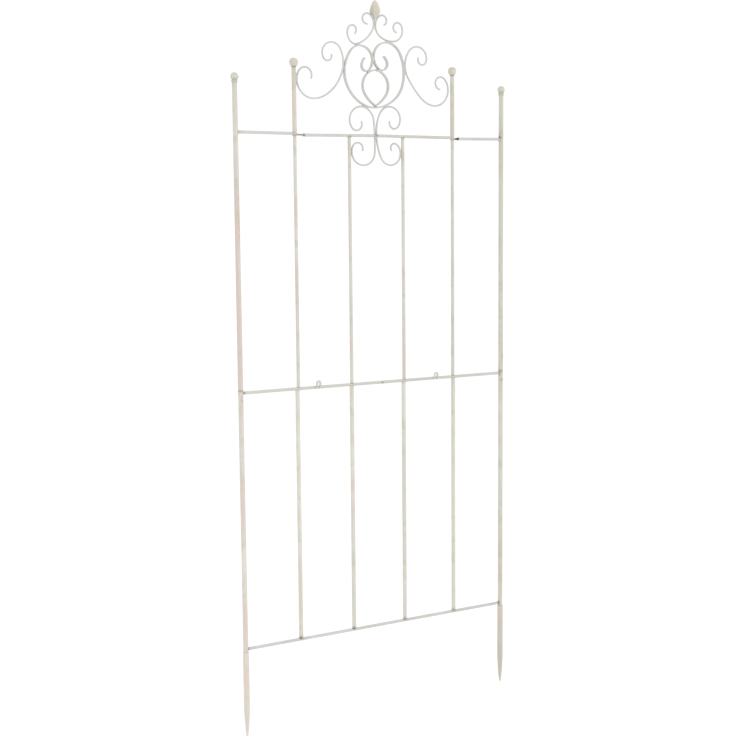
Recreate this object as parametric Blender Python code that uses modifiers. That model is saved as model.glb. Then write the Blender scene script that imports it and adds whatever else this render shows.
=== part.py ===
"""Garden trellis of welded steel bar in two panels, with a scrolled crest.

The lower panel stands in the ground on two spikes.  The upper panel, with
the crest, plugs into it: a spigot in each outer post and a pin under each
upright bar.  Metres, +Z up, +X to the right, the front faces -Y, and the
origin is on the ground line under the middle of the panel.
"""
import math

import bmesh
import bpy
from mathutils import Matrix, Vector

for old in list(bpy.data.objects):
    bpy.data.objects.remove(old, do_unlink=True)

# ------------------------------------------------------------------ sizes
MM = 0.001
GAP = 0.3 * MM                    # between pieces that touch

Z_BOTTOM = 0.035                  # axes of the three rails
Z_MID = 0.700
Z_TOP = 1.350

POST_X = 0.400                    # outer posts, tube
POST_R = 6.5 * MM
BORE_R = 5.25 * MM
Z_SHOULDER = 0.027                # lower end of the lower posts
Z_SEAM = 0.706                    # where the upper posts stand on the lower
Z_COLLAR = 1.4700                 # upper end of the upper posts

LOWER_BAR_X = (-0.240, -0.080, 0.080, 0.240)
UPPER_BAR_X = (-0.237, -0.0795, 0.082, 0.239)
LOWER_BAR_R = 5.5 * MM
UPPER_BAR_R = 4.5 * MM
RAIL_R = 4.0 * MM
SADDLE_R = RAIL_R + GAP           # cope in a bar that meets a rail
SADDLE_Z = 2.2 * MM               # how near the rail's axis a coped bar comes

PIN_R = 2.25 * MM                 # pins under the upper bars
PIN_LEN = 6.0 * MM
PIN_HOLE_R = 2.65 * MM
PIN_HOLE_DEPTH = 6.6 * MM

SPIGOT_R = 4.75 * MM              # in the outer posts, across the seam
SPIGOT_UP = 40.0 * MM
SPIGOT_DOWN = 72.0 * MM

SPIKE_R = 7.8 * MM
SPIKE_TIP = -0.200
SPIKE_TAPER = 0.070
SPIKE_PLUG = 36.0 * MM

CREST_POST_R = 5.75 * MM
CREST_POST_FOOT = Z_TOP - 4.5 * MM
CREST_POST_TOP = Z_TOP + 0.1652

X_MID_L = -0.209                  # where the rail starts again behind a stud
X_OUT_R = 0.2585
SAG_L = 3.2 * MM                  # how low that end sits
SAG_R = 2.4 * MM

SCREW_Z = Z_MID - 18.5 * MM       # screws that lock the spigots
EYELET_X = (-0.181, 0.181)
EYELET_W = 4.8 * MM               # flat bar bent to a loop
EYELET_T = 3.4 * MM
EYELET_R = 7.1 * MM               # outer radius of the bend
EYELET_BEND_Z = {"L": 11.5 * MM, "R": 9.6 * MM}  # its centre, above the rail's axis
EYELET_FOOT_Z = -2.6 * MM         # where the legs end on the rail's front

WIRE_R = 2.5 * MM                 # round wire of the scrolls
STRAP_T = 4.0 * MM                # flat bar of the lyre and of the ring
STRAP_D = 10.0 * MM

# Each scroll is a chain of arcs (radius in mm, turn in degrees, + is
# anticlockwise) that starts at its inner curl: x and z in mm from the middle
# of the top rail, then the heading in degrees.  Right-hand ones are written
# as left-hand ones and mirrored.
SCROLLS = {
    "top_scroll_L": (-21.47, 284.67, -170.98, (
        (13.56, -231.5), (31.44, -76.9), (79.85, -43.6), (16.98, -51.4), (29.77, -82.5), (11.94, -209.0))),
    "top_scroll_R": (-26.15, 283.70, -198.44, (
        (13.08, -128.4), (12.85, -71.3), (32.29, -108.5), (60.88, -43.8), (26.03, -28.5), (29.31, -75.4), (13.02, -232.5))),
    "lyre_scroll_L": (-32.31, 198.18, -130.47, (
        (39.53, 29.3), (12.82, 148.4), (35.95, 187.9), (98.73, 28.3), (75.29, 24.2), (95.39, 43.9), (81.82, 30.9))),
    "lyre_scroll_R": (-25.09, 204.59, -139.88, (
        (41.24, 20.1), (16.29, 159.4), (38.43, 143.6), (45.81, 59.0), (111.00, 45.8), (75.21, 31.6), (100.46, 36.5))),
    "side_scroll_L": (-129.10, 203.33, -67.62, (
        (12.64, -174.8), (27.59, -180.7), (76.06, -44.2), (108.78, -43.3), (69.64, -28.7), (45.56, -119.2), (19.13, -181.3))),
    "side_scroll_R": (-132.33, 207.53, -61.01, (
        (12.82, -194.4), (29.61, -156.1), (62.17, -68.8), (251.97, -15.2), (64.85, -35.5), (43.02, -140.2), (16.56, -225.3))),
    "base_scroll_L": (-43.44, 36.59, -60.59, (
        (16.19, -171.6), (34.22, -145.6), (38.88, -67.3), (747.40, -6.3), (34.16, -206.7), (15.07, -177.0))),
    "base_scroll_R": (-42.99, 38.96, -67.89, (
        (14.27, -164.8), (32.05, -185.2), (79.05, -22.5), (154.45, -34.3), (30.68, -206.2), (11.09, -174.7))),
}
EASE = 14.0                       # mm over which one arc blends into the next
RING_START = (0.0, 76.68, 29.30)    # lowest point of the teardrop ring
RING_ARCS = ((95.28, 24.81), (40.69, 125.89))

PAINT = (0.835, 0.820, 0.765)     # sRGB, from the photo
PAINT_WORN = (0.855, 0.808, 0.772)
PAINT_SHADE = (0.800, 0.790, 0.735)
DARK_STEEL = (0.300, 0.290, 0.270)


# ---------------------------------------------------------------- helpers
def make_collection(name):
    col = bpy.data.collections.new(name)
    bpy.context.scene.collection.children.link(col)
    return col


PARTS = make_collection("garden_trellis")
CUTTERS = make_collection("cutters")


def linear(v):
    return v / 12.92 if v <= 0.04045 else ((v + 0.055) / 1.055) ** 2.4


def material(name, rgb, roughness, metallic):
    mat = bpy.data.materials.new("mat_" + name)
    mat.use_nodes = True
    shader = mat.node_tree.nodes["Principled BSDF"]
    shader.inputs["Base Color"].default_value = (*[linear(v) for v in rgb], 1.0)
    shader.inputs["Roughness"].default_value = roughness
    shader.inputs["Metallic"].default_value = metallic
    mat.diffuse_color = (*rgb, 1.0)
    return mat


def place(obj, loc=(0, 0, 0), rot=(0, 0, 0), rgb=PAINT, roughness=0.5, metallic=0.0):
    obj.location = loc
    obj.rotation_euler = rot
    PARTS.objects.link(obj)
    obj.data.materials.append(material(obj.name, rgb, roughness, metallic))
    return obj


def mesh_from(name, bm):
    mesh = bpy.data.meshes.new(name)
    bm.to_mesh(mesh)
    bm.free()
    return bpy.data.objects.new(name, mesh)


def cylinders(name, items):
    """One mesh with a closed cylinder for each (start, end, radius, sides)."""
    bm = bmesh.new()
    for start, end, radius, sides in items:
        a, b = Vector(start), Vector(end)
        turn = Vector((0, 0, 1)).rotation_difference(b - a).to_matrix().to_4x4()
        bmesh.ops.create_cone(
            bm, cap_ends=True, segments=sides, radius1=radius, radius2=radius,
            depth=(b - a).length, matrix=Matrix.Translation((a + b) / 2) @ turn)
    return mesh_from(name, bm)


def cutter(name, items):
    obj = cylinders(name, items)
    obj.display_type = "WIRE"
    obj.hide_render = True
    CUTTERS.objects.link(obj)
    return obj


def cut(obj, tool):
    mod = obj.modifiers.new("cut_" + tool.name, "BOOLEAN")
    mod.operation = "DIFFERENCE"
    mod.solver = "EXACT"
    mod.object = tool


def turned(name, profile, steps, closed=False, **kw):
    """A profile of (radius, z), down its outer side, turned about Z."""
    bm = bmesh.new()
    verts = [bm.verts.new((r, 0, z)) for r, z in profile]
    for a, b in zip(verts, verts[1:]):
        bm.edges.new((a, b))
    if closed:
        bm.edges.new((verts[-1], verts[0]))
    obj = mesh_from(name, bm)
    place(obj, **kw)
    mod = obj.modifiers.new("turn", "SCREW")
    mod.axis = "Z"
    mod.steps = steps
    mod.render_steps = steps
    mod.use_merge_vertices = True
    mod.merge_threshold = 0.00001
    return obj


def rod(name, start, end, radius, sides, **kw):
    """A round rod, its own origin at the middle of its length."""
    mid = (Vector(start) + Vector(end)) / 2
    obj = cylinders(name, [(Vector(start) - mid, Vector(end) - mid, radius, sides)])
    return place(obj, loc=mid, **kw)


def arc_path(x, z, heading, arcs, ease, step=1.0):
    """Points (mm) along a chain of arcs whose curvature eases at each change."""
    lengths = [radius * math.radians(abs(turn)) for radius, turn in arcs]
    bends = [math.copysign(1 / radius, turn) for radius, turn in arcs]

    def turned_by(s):
        total = 0.0
        for length, bend in zip(lengths, bends):
            total += bend * max(0.0, min(s, length))
            s -= length
        if s > 0:
            total += bends[-1] * s
        return total

    def turned_from_start(s):
        return bends[0] * s if s < 0 else turned_by(s)

    def smooth(s):
        window = [ease * (k / 8 - 0.5) for k in range(9)]
        return sum(turned_from_start(s + w) for w in window) / 9

    total = sum(lengths)
    count = max(2, round(total / step))
    step = total / count
    start = math.radians(heading) - smooth(0.0)
    points, angles = [(x, z)], [math.radians(heading)]
    for i in range(count):
        angle = start + smooth((i + 0.5) * step)
        x += step * math.cos(angle)
        z += step * math.sin(angle)
        points.append((x, z))
        angles.append(start + smooth((i + 1) * step))
    return points, angles


def thin_out(points, angles, turn, reach):
    """Keep a point wherever the path has turned or run on far enough."""
    keep = [0]
    for i in range(1, len(points) - 1):
        far = math.hypot(points[i][0] - points[keep[-1]][0], points[i][1] - points[keep[-1]][1])
        if abs(angles[i] - angles[keep[-1]]) >= math.radians(turn) or far >= reach:
            keep.append(i)
    last = len(points) - 1
    if last - keep[-1] < 3:
        keep.pop()
    keep.append(last)
    return [points[i] for i in keep], [angles[i] for i in keep]


def scroll_path(name, turn=14.0, reach=28.0):
    x, z, heading, arcs = SCROLLS[name]
    points, angles = arc_path(x, z, heading, arcs, EASE)
    points, angles = thin_out(points, angles, turn, reach)
    if name.endswith("_R"):
        points = [(-px, pz) for px, pz in points]
        angles = [math.pi - a for a in angles]
    return points, angles


def wire(name, points, radius, **kw):
    """A bent round wire through points (x, z) in mm, on a poly spline."""
    curve = bpy.data.curves.new(name, "CURVE")
    curve.dimensions = "3D"
    spline = curve.splines.new("POLY")
    spline.points.add(len(points) - 1)
    for point, (x, z) in zip(spline.points, points):
        point.co = (x * MM, 0.0, z * MM, 1.0)
    curve.bevel_depth = radius
    curve.bevel_resolution = 2
    curve.use_fill_caps = True
    return place(bpy.data.objects.new(name, curve), **kw)


def outline(name, loops, depth, **kw):
    """Flat loops (x, z) in mm, filled and extruded to a depth along Y."""
    curve = bpy.data.curves.new(name, "CURVE")
    curve.dimensions = "2D"
    curve.fill_mode = "BOTH"
    for loop in loops:
        spline = curve.splines.new("POLY")
        spline.points.add(len(loop) - 1)
        for point, (x, z) in zip(spline.points, loop):
            point.co = (x * MM, z * MM, 0.0, 1.0)
        spline.use_cyclic_u = True
    curve.extrude = depth / 2
    kw.setdefault("rot", (math.pi / 2, 0, 0))
    return place(bpy.data.objects.new(name, curve), **kw)


def sides_of(points, angles, half):
    """The two edges of a strap that is 2 * half (mm) thick."""
    left = [(x - half * math.sin(a), z + half * math.cos(a)) for (x, z), a in zip(points, angles)]
    right = [(x + half * math.sin(a), z - half * math.cos(a)) for (x, z), a in zip(points, angles)]
    return left, right


CREST = (0.0, 0.0, Z_TOP)

# ---------------------------------------------------------------- cutters
rails_cutter = cutter("rail_saddles", [
    ((-0.41, 0, z), (0.41, 0, z), SADDLE_R, 24) for z in (Z_BOTTOM, Z_MID)] + [
    ((X_MID_L, 0, Z_TOP - SAG_L), (-0.002, 0, Z_TOP), SADDLE_R, 24),
    ((0.002, 0, Z_TOP), (0.23, 0, Z_TOP), SADDLE_R, 24)])
posts_cutter = cutter("post_saddles", [
    ((x, 0, 0.0), (x, 0, 1.40), POST_R + GAP, 24) for x in (-POST_X, POST_X)] + [
    ((x, 0, 1.33), (x, 0, 1.37), CREST_POST_R + GAP, 24) for x in (UPPER_BAR_X[0], UPPER_BAR_X[3])])
pins_cutter = cutter("pin_holes", [
    ((x, 0, Z_MID + RAIL_R - PIN_HOLE_DEPTH), (x, 0, Z_MID + 0.008), PIN_HOLE_R, 12) for x in UPPER_BAR_X])
screws_cutter = cutter("screw_holes", [
    ((x, -0.009, SCREW_Z), (x, -0.0035, SCREW_Z), 2.2 * MM, 12) for x in (-POST_X, POST_X)])


# ------------------------------------------------------------ lower panel
def tube(name, x, z_top, z_end, **kw):
    ring = [(POST_R, z_top), (POST_R, z_end), (BORE_R, z_end), (BORE_R, z_top)]
    return turned(name, ring, 24, closed=True, loc=(x, 0, 0), **kw)


for side, sign in (("L", -1), ("R", 1)):
    post = tube("lower_post_" + side, sign * POST_X, Z_SEAM, Z_SHOULDER,
                rgb=PAINT if side == "L" else PAINT_WORN)
    cut(post, screws_cutter)

    # Spike: a plug in the post, a shoulder, then a pointed shaft.
    z0 = Z_SHOULDER - GAP
    profile = [(0.0, z0 + SPIKE_PLUG), (3.6 * MM, z0 + SPIKE_PLUG),
               (4.7 * MM, z0 + SPIKE_PLUG - 1.6 * MM), (4.7 * MM, z0),
               (SPIKE_R - 0.8 * MM, z0), (SPIKE_R, z0 - 0.8 * MM)]
    z_taper = SPIKE_TIP + SPIKE_TAPER
    for k in range(8):
        t = k / 8
        profile.append((SPIKE_R * (1 - t) ** 0.45, z_taper - SPIKE_TAPER * t))
    profile += [(SPIKE_R * 0.27, SPIKE_TIP + 4.0 * MM), (0.0, SPIKE_TIP)]
    turned("ground_spike_" + side, profile, 20, loc=(sign * POST_X, 0, 0), rgb=PAINT_SHADE)

bottom_rail = rod("bottom_rail", (-0.3955, 0, Z_BOTTOM), (0.3955, 0, Z_BOTTOM), RAIL_R, 16)
cut(bottom_rail, posts_cutter)
mid_rail = rod("mid_rail", (-0.3955, 0, Z_MID), (0.3955, 0, Z_MID), RAIL_R, 16)
cut(mid_rail, posts_cutter)
cut(mid_rail, pins_cutter)

for i, x in enumerate(LOWER_BAR_X, 1):
    bar = rod(f"lower_bar_{i}", (x, 0, Z_BOTTOM + SADDLE_Z), (x, 0, Z_MID - SADDLE_Z), LOWER_BAR_R, 16)
    cut(bar, rails_cutter)

# Eyelets: a loop whose two legs lie on the front of the mid rail.
for side, x in zip("LR", EYELET_X):
    wide, thin = EYELET_R / MM, (EYELET_R - EYELET_W) / MM
    top, foot = EYELET_BEND_Z[side] / MM, EYELET_FOOT_Z / MM
    loop = [(wide, foot)]
    loop += [(wide * math.cos(math.radians(a)), top + wide * math.sin(math.radians(a)))
             for a in range(0, 181, 15)]
    loop += [(-wide, foot), (-thin, foot)]
    loop += [(thin * math.cos(math.radians(a)), top + thin * math.sin(math.radians(a)))
             for a in range(180, -1, -20)]
    loop += [(thin, foot)]
    outline("wall_eyelet_" + side, [loop], EYELET_T, loc=(x, -(RAIL_R + GAP + EYELET_T / 2), Z_MID))

# Screws that lock the spigots: a domed head in front of the post's wall.
for side, sign in (("L", -1), ("R", 1)):
    head, shank, tip = 3.5 * MM, 1.75 * MM, 5.2 * MM
    seat = POST_R + GAP
    profile = [(0.0, seat + 2.4 * MM), (1.9 * MM, seat + 2.2 * MM), (3.0 * MM, seat + 1.5 * MM),
               (head, seat + 0.7 * MM), (head, seat), (shank, seat), (shank, tip), (0.0, tip)]
    turned("coupling_screw_" + side, profile, 16, loc=(sign * POST_X, 0, SCREW_Z),
           rot=(math.pi / 2, 0, 0), rgb=PAINT_SHADE)

# ------------------------------------------------------------ upper panel
UP = bpy.data.objects.new("upper_panel_frame", None)      # on the lift's axis
UP.location = (0, 0, Z_SEAM)
PARTS.objects.link(UP)
lower_names = {o.name for o in PARTS.objects}

for side, sign in (("L", -1), ("R", 1)):
    tube("upper_post_" + side, sign * POST_X, Z_COLLAR, Z_SEAM + GAP, rgb=PAINT_WORN)
    top, low = Z_SEAM + SPIGOT_UP, Z_SEAM - SPIGOT_DOWN
    turned("coupling_spigot_" + side,
           [(0.0, top), (SPIGOT_R, top), (SPIGOT_R, low + 2.5 * MM), (SPIGOT_R - 1.4 * MM, low), (0.0, low)],
           20, loc=(sign * POST_X, 0, 0), rgb=DARK_STEEL, roughness=0.5, metallic=0.8)

    # Outer finial: a plug in the post, a grooved collar, a ball.
    z0, ball = Z_COLLAR + GAP, 10.2 * MM
    centre = z0 + 13.7 * MM
    profile = [(0.0, centre + ball)]
    profile += [(ball * math.sin(math.radians(a)), centre + ball * math.cos(math.radians(a)))
                for a in range(18, 140, 15)]
    profile += [(5.9 * MM, z0 + 5.4 * MM), (7.9 * MM, z0 + 4.8 * MM), (8.3 * MM, z0 + 3.6 * MM),
                (7.6 * MM, z0 + 2.8 * MM), (7.9 * MM, z0 + 2.1 * MM), (7.7 * MM, z0 + 0.7 * MM),
                (6.9 * MM, z0), (4.7 * MM, z0), (4.7 * MM, z0 - 14 * MM), (0.0, z0 - 14 * MM)]
    turned("finial_outer_" + side, profile, 20, loc=(sign * POST_X, 0, 0))

for i, x in enumerate(UPPER_BAR_X, 1):
    z0 = Z_MID + RAIL_R + GAP
    under_crest_post = i in (1, 4)
    z1 = CREST_POST_FOOT - GAP if under_crest_post else Z_TOP - SADDLE_Z
    bar = turned(f"upper_bar_{i}",
                 [(0.0, z1), (UPPER_BAR_R, z1), (UPPER_BAR_R, z0 + 1.2 * MM), (UPPER_BAR_R - 1.2 * MM, z0),
                  (PIN_R, z0), (PIN_R, z0 - PIN_LEN), (0.0, z0 - PIN_LEN)], 16, loc=(x, 0, 0))
    if not under_crest_post:
        cut(bar, rails_cutter)

# Crest posts, each with a bulb on top.
for side, x in (("L", UPPER_BAR_X[0]), ("R", UPPER_BAR_X[3])):
    rod("crest_post_" + side, (x, 0, CREST_POST_FOOT), (x, 0, CREST_POST_TOP), CREST_POST_R, 20, rgb=PAINT_WORN)
    z0 = CREST_POST_TOP + GAP
    bulb = [(0.0, 22.5), (3.6, 22.0), (6.9, 20.6), (9.3, 18.2), (10.9, 15.3), (11.5, 12.3), (11.3, 9.8),
            (10.6, 7.2), (9.5, 4.7), (8.2, 2.5), (7.0, 1.0), (5.9, 0.0), (0.0, 0.0)]
    profile = [(r * MM, z0 + z * MM) for r, z in bulb]
    turned("finial_inner_" + side, profile, 20, loc=(x, 0, 0))

# Scrolls of round wire.
for name in ("top_scroll_L", "top_scroll_R", "side_scroll_L", "side_scroll_R",
             "base_scroll_L", "base_scroll_R"):
    wire(name, scroll_path(name)[0], WIRE_R, loc=CREST, rgb=PAINT_SHADE)

# The lyre's halves and the ring inside it, flat bar on edge.
for name in ("lyre_scroll_L", "lyre_scroll_R"):
    left, right = sides_of(*scroll_path(name, turn=8.0, reach=18.0), STRAP_T / MM / 2)
    outline(name, [left + right[::-1]], STRAP_D, loc=CREST, rgb=PAINT_SHADE)

points, angles = arc_path(*RING_START, RING_ARCS, 10.0)
points, angles = thin_out(points, angles, 7.5, 14.0)
angles[-1] = math.pi
inner, outer = sides_of(points, angles, STRAP_T / MM / 2)
# The two sides of the drop meet in a point on the centre plane.
slope = math.radians(RING_START[2])
tip = STRAP_T / MM / 2 / math.cos(slope)
inner[0] = (0.0, RING_START[1] + tip)
outer[0] = (0.0, RING_START[1] - tip)
loops = [half + [(-x, z) for x, z in half[-2:0:-1]] for half in (outer, inner)]
outline("teardrop_ring", loops, STRAP_D, loc=CREST, rgb=PAINT_SHADE)

# Bud over the two top curls, turned.
BUD_X = 0.3 * MM                  # where the V between the curls is widest
bud = [(0.0, 346.5), (2.4, 345.3), (5.0, 342.5), (7.1, 339.8), (9.5, 334.9), (11.4, 330.0), (12.7, 324.9),
       (14.0, 320.0), (14.4, 317.0), (14.0, 314.4), (12.4, 311.2), (9.9, 308.6), (7.0, 306.0),
       (4.6, 303.0), (3.0, 300.0), (1.6, 296.0), (0.0, 296.0)]
turned("bud_finial", [(r * MM, z * MM) for r, z in bud], 20, loc=(BUD_X, 0, Z_TOP), rgb=PAINT_WORN)

# Top rail: outer lengths to the crest posts, inner ones to the middle, where
# the stems of the base scrolls pass between them.
stem = {}
for side, sign in (("L", -1), ("R", 1)):
    x, z, heading, arcs = SCROLLS["base_scroll_" + side]
    near = [-px for px, pz in arc_path(x, z, heading, arcs, EASE)[0] if abs(pz) < 5.5 and abs(px) < 30]
    stem[side] = sign * (max(near) * MM + WIRE_R + 2 * GAP)

STUD_R = 2.4 * MM
STUD_DROP = {"L": 2.4 * MM, "R": 3.2 * MM}  # how low it starts on the crest post
STUD_IN = 2.5 * MM                # how far it reaches into the rail
NUT_AF = 7.5 * MM
NUT_T = 3.2 * MM
RAIL_BORE_R = 3.0 * MM


def stud_joint(side, x_post, x_rail, drop):
    """A slanting stud from a crest post into the next rail length, with a nut."""
    start = Vector((x_post + CREST_POST_R + 0.6 * MM, 0, Z_TOP - STUD_DROP[side]))
    along = Vector((x_rail, 0, Z_TOP - drop)) - start
    along.normalize()
    end = start + along * ((x_rail - start.x) / along.x + STUD_IN)
    rod("rail_stud_" + side, start, end, STUD_R, 12, rgb=DARK_STEEL, roughness=0.6, metallic=0.7)
    seat = start + along * ((x_rail - start.x) / along.x - 1.2 * MM)
    far = seat - along * NUT_T
    mid = (seat + far) / 2
    nut = cylinders("rail_nut_" + side, [(far - mid, seat - mid, NUT_AF / 2 / math.cos(math.pi / 6), 6)])
    place(nut, loc=mid, rgb=DARK_STEEL, roughness=0.6, metallic=0.7)
    cut(nut, cutter("nut_bore_" + side, [(far - along * 0.004, seat + along * 0.004, STUD_R + GAP, 12)]))


stud_joint("L", UPPER_BAR_X[0], X_MID_L, SAG_L)
stud_joint("R", UPPER_BAR_X[3], X_OUT_R, SAG_R)

rail = rod("top_rail_L", (-0.3955, 0, Z_TOP), (-0.2403, 0, Z_TOP), RAIL_R, 16)
cut(rail, posts_cutter)
rail = rod("top_rail_mid_L", (X_MID_L, 0, Z_TOP - SAG_L), (stem["L"], 0, Z_TOP), RAIL_R, 16)
cut(rail, cutter("socket_L", [((X_MID_L - 0.004, 0, Z_TOP - SAG_L), (X_MID_L + 0.012, 0, Z_TOP - SAG_L),
                               RAIL_BORE_R, 12)]))
rail = rod("top_rail_mid_R", (stem["R"], 0, Z_TOP), (0.2423, 0, Z_TOP), RAIL_R, 16)
cut(rail, posts_cutter)
rail = rod("top_rail_R", (X_OUT_R, 0, Z_TOP - SAG_R), (0.3955, 0, Z_TOP), RAIL_R, 16)
cut(rail, posts_cutter)
cut(rail, cutter("socket_R", [((X_OUT_R - 0.004, 0, Z_TOP - SAG_R), (X_OUT_R + 0.012, 0, Z_TOP - SAG_R),
                               RAIL_BORE_R, 12)]))

# Everything made since the frame empty rides on it.
bpy.context.view_layer.update()
for obj in PARTS.objects:
    if obj.name not in lower_names:
        obj.parent = UP
        obj.matrix_parent_inverse = UP.matrix_world.inverted()
bpy.context.view_layer.update()
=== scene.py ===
"""Looks of the garden trellis: fine meshes, welds, paint, light and camera."""

import math

import bmesh
import bpy
import numpy as np
from mathutils import Matrix, Vector


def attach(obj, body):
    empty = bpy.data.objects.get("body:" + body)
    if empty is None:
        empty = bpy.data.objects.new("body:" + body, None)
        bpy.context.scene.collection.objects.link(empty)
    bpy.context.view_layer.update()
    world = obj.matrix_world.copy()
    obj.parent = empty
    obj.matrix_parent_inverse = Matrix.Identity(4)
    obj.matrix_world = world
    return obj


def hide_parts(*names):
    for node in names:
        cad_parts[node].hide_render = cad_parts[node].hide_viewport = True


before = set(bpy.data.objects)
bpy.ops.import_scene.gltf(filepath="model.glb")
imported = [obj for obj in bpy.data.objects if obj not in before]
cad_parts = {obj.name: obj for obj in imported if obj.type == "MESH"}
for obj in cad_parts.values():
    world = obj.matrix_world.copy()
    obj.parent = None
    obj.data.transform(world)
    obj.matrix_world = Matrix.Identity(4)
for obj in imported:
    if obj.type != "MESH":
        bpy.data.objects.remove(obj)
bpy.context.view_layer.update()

MM = 0.001
PI = math.pi
SCENE = bpy.context.scene

# ------------------------------------------------------------------ sizes
GAP = 0.3 * MM
Z_BOTTOM, Z_MID, Z_TOP = 0.035, 0.700, 1.350
POST_X, POST_R, BORE_R = 0.400, 6.5 * MM, 5.25 * MM
Z_SHOULDER, Z_SEAM, Z_COLLAR = 0.027, 0.706, 1.4700
LOWER_BAR_X = (-0.240, -0.080, 0.080, 0.240)
UPPER_BAR_X = (-0.237, -0.0795, 0.082, 0.239)
LOWER_BAR_R, UPPER_BAR_R, RAIL_R = 5.5 * MM, 4.5 * MM, 4.0 * MM
SADDLE_R, SADDLE_Z = RAIL_R + 0.05 * MM, 2.2 * MM
PIN_R, PIN_LEN, PIN_HOLE_R, PIN_HOLE_DEPTH = 2.25 * MM, 6.0 * MM, 2.65 * MM, 6.6 * MM
SPIGOT_R, SPIGOT_UP, SPIGOT_DOWN = 4.75 * MM, 40.0 * MM, 72.0 * MM
SPIKE_R, SPIKE_TIP, SPIKE_TAPER, SPIKE_PLUG = 7.8 * MM, -0.200, 0.070, 36.0 * MM
CREST_POST_R = 5.75 * MM
CREST_POST_FOOT, CREST_POST_TOP = Z_TOP - 4.5 * MM, Z_TOP + 0.1652
X_MID_L, X_OUT_R, SAG_L, SAG_R = -0.209, 0.2585, 3.2 * MM, 2.4 * MM
SCREW_Z = Z_MID - 18.5 * MM
EYELET_X, EYELET_W, EYELET_T, EYELET_R = (-0.181, 0.181), 4.8 * MM, 3.4 * MM, 7.1 * MM
EYELET_BEND_Z, EYELET_FOOT_Z = {"L": 11.5 * MM, "R": 9.6 * MM}, -2.6 * MM
WIRE_R, STRAP_T, STRAP_D = 2.5 * MM, 4.0 * MM, 10.0 * MM
STUD_R, STUD_DROP, STUD_IN = 2.4 * MM, {"L": 2.4 * MM, "R": 3.2 * MM}, 2.5 * MM
NUT_AF, NUT_T, RAIL_BORE_R = 7.5 * MM, 3.2 * MM, 3.0 * MM
BUD_X = 0.3 * MM

SCROLLS = {
    "top_scroll_L": (-21.47, 284.67, -170.98, (
        (13.56, -231.5), (31.44, -76.9), (79.85, -43.6), (16.98, -51.4), (29.77, -82.5), (11.94, -209.0))),
    "top_scroll_R": (-26.15, 283.70, -198.44, (
        (13.08, -128.4), (12.85, -71.3), (32.29, -108.5), (60.88, -43.8), (26.03, -28.5), (29.31, -75.4), (13.02, -232.5))),
    "lyre_scroll_L": (-32.31, 198.18, -130.47, (
        (39.53, 29.3), (12.82, 148.4), (35.95, 187.9), (98.73, 28.3), (75.29, 24.2), (95.39, 43.9), (81.82, 30.9))),
    "lyre_scroll_R": (-25.09, 204.59, -139.88, (
        (41.24, 20.1), (16.29, 159.4), (38.43, 143.6), (45.81, 59.0), (111.00, 45.8), (75.21, 31.6), (100.46, 36.5))),
    "side_scroll_L": (-129.10, 203.33, -67.62, (
        (12.64, -174.8), (27.59, -180.7), (76.06, -44.2), (108.78, -43.3), (69.64, -28.7), (45.56, -119.2), (19.13, -181.3))),
    "side_scroll_R": (-132.33, 207.53, -61.01, (
        (12.82, -194.4), (29.61, -156.1), (62.17, -68.8), (251.97, -15.2), (64.85, -35.5), (43.02, -140.2), (16.56, -225.3))),
    "base_scroll_L": (-43.44, 36.59, -60.59, (
        (16.19, -171.6), (34.22, -145.6), (38.88, -67.3), (747.40, -6.3), (34.16, -206.7), (15.07, -177.0))),
    "base_scroll_R": (-42.99, 38.96, -67.89, (
        (14.27, -164.8), (32.05, -185.2), (79.05, -22.5), (154.45, -34.3), (30.68, -206.2), (11.09, -174.7))),
}
EASE = 14.0
RING_START = (0.0, 76.68, 29.30)
RING_ARCS = ((95.28, 24.81), (40.69, 125.89))


def arc_path(x, z, heading, arcs, ease, step=1.0):
    """Points (mm) along a chain of arcs whose curvature eases at each change."""
    lengths = [radius * math.radians(abs(turn)) for radius, turn in arcs]
    bends = [math.copysign(1 / radius, turn) for radius, turn in arcs]

    def turned_by(s):
        total = 0.0
        for length, bend in zip(lengths, bends):
            total += bend * max(0.0, min(s, length))
            s -= length
        if s > 0:
            total += bends[-1] * s
        return total

    def turned_from_start(s):
        return bends[0] * s if s < 0 else turned_by(s)

    def smooth(s):
        window = [ease * (k / 8 - 0.5) for k in range(9)]
        return sum(turned_from_start(s + w) for w in window) / 9

    total = sum(lengths)
    count = max(2, round(total / step))
    step = total / count
    start = math.radians(heading) - smooth(0.0)
    points, angles = [(x, z)], [math.radians(heading)]
    for i in range(count):
        angle = start + smooth((i + 0.5) * step)
        x += step * math.cos(angle)
        z += step * math.sin(angle)
        points.append((x, z))
        angles.append(start + smooth((i + 1) * step))
    return points, angles


def scroll_path(name):
    """Points (m, x and z above the top rail) and headings of one scroll."""
    x, z, heading, arcs = SCROLLS[name]
    points, angles = arc_path(x, z, heading, arcs, EASE)
    if name.endswith("_R"):
        points = [(-px, pz) for px, pz in points]
        angles = [PI - a for a in angles]
    return np.array(points) * MM, np.array(angles)


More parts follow.
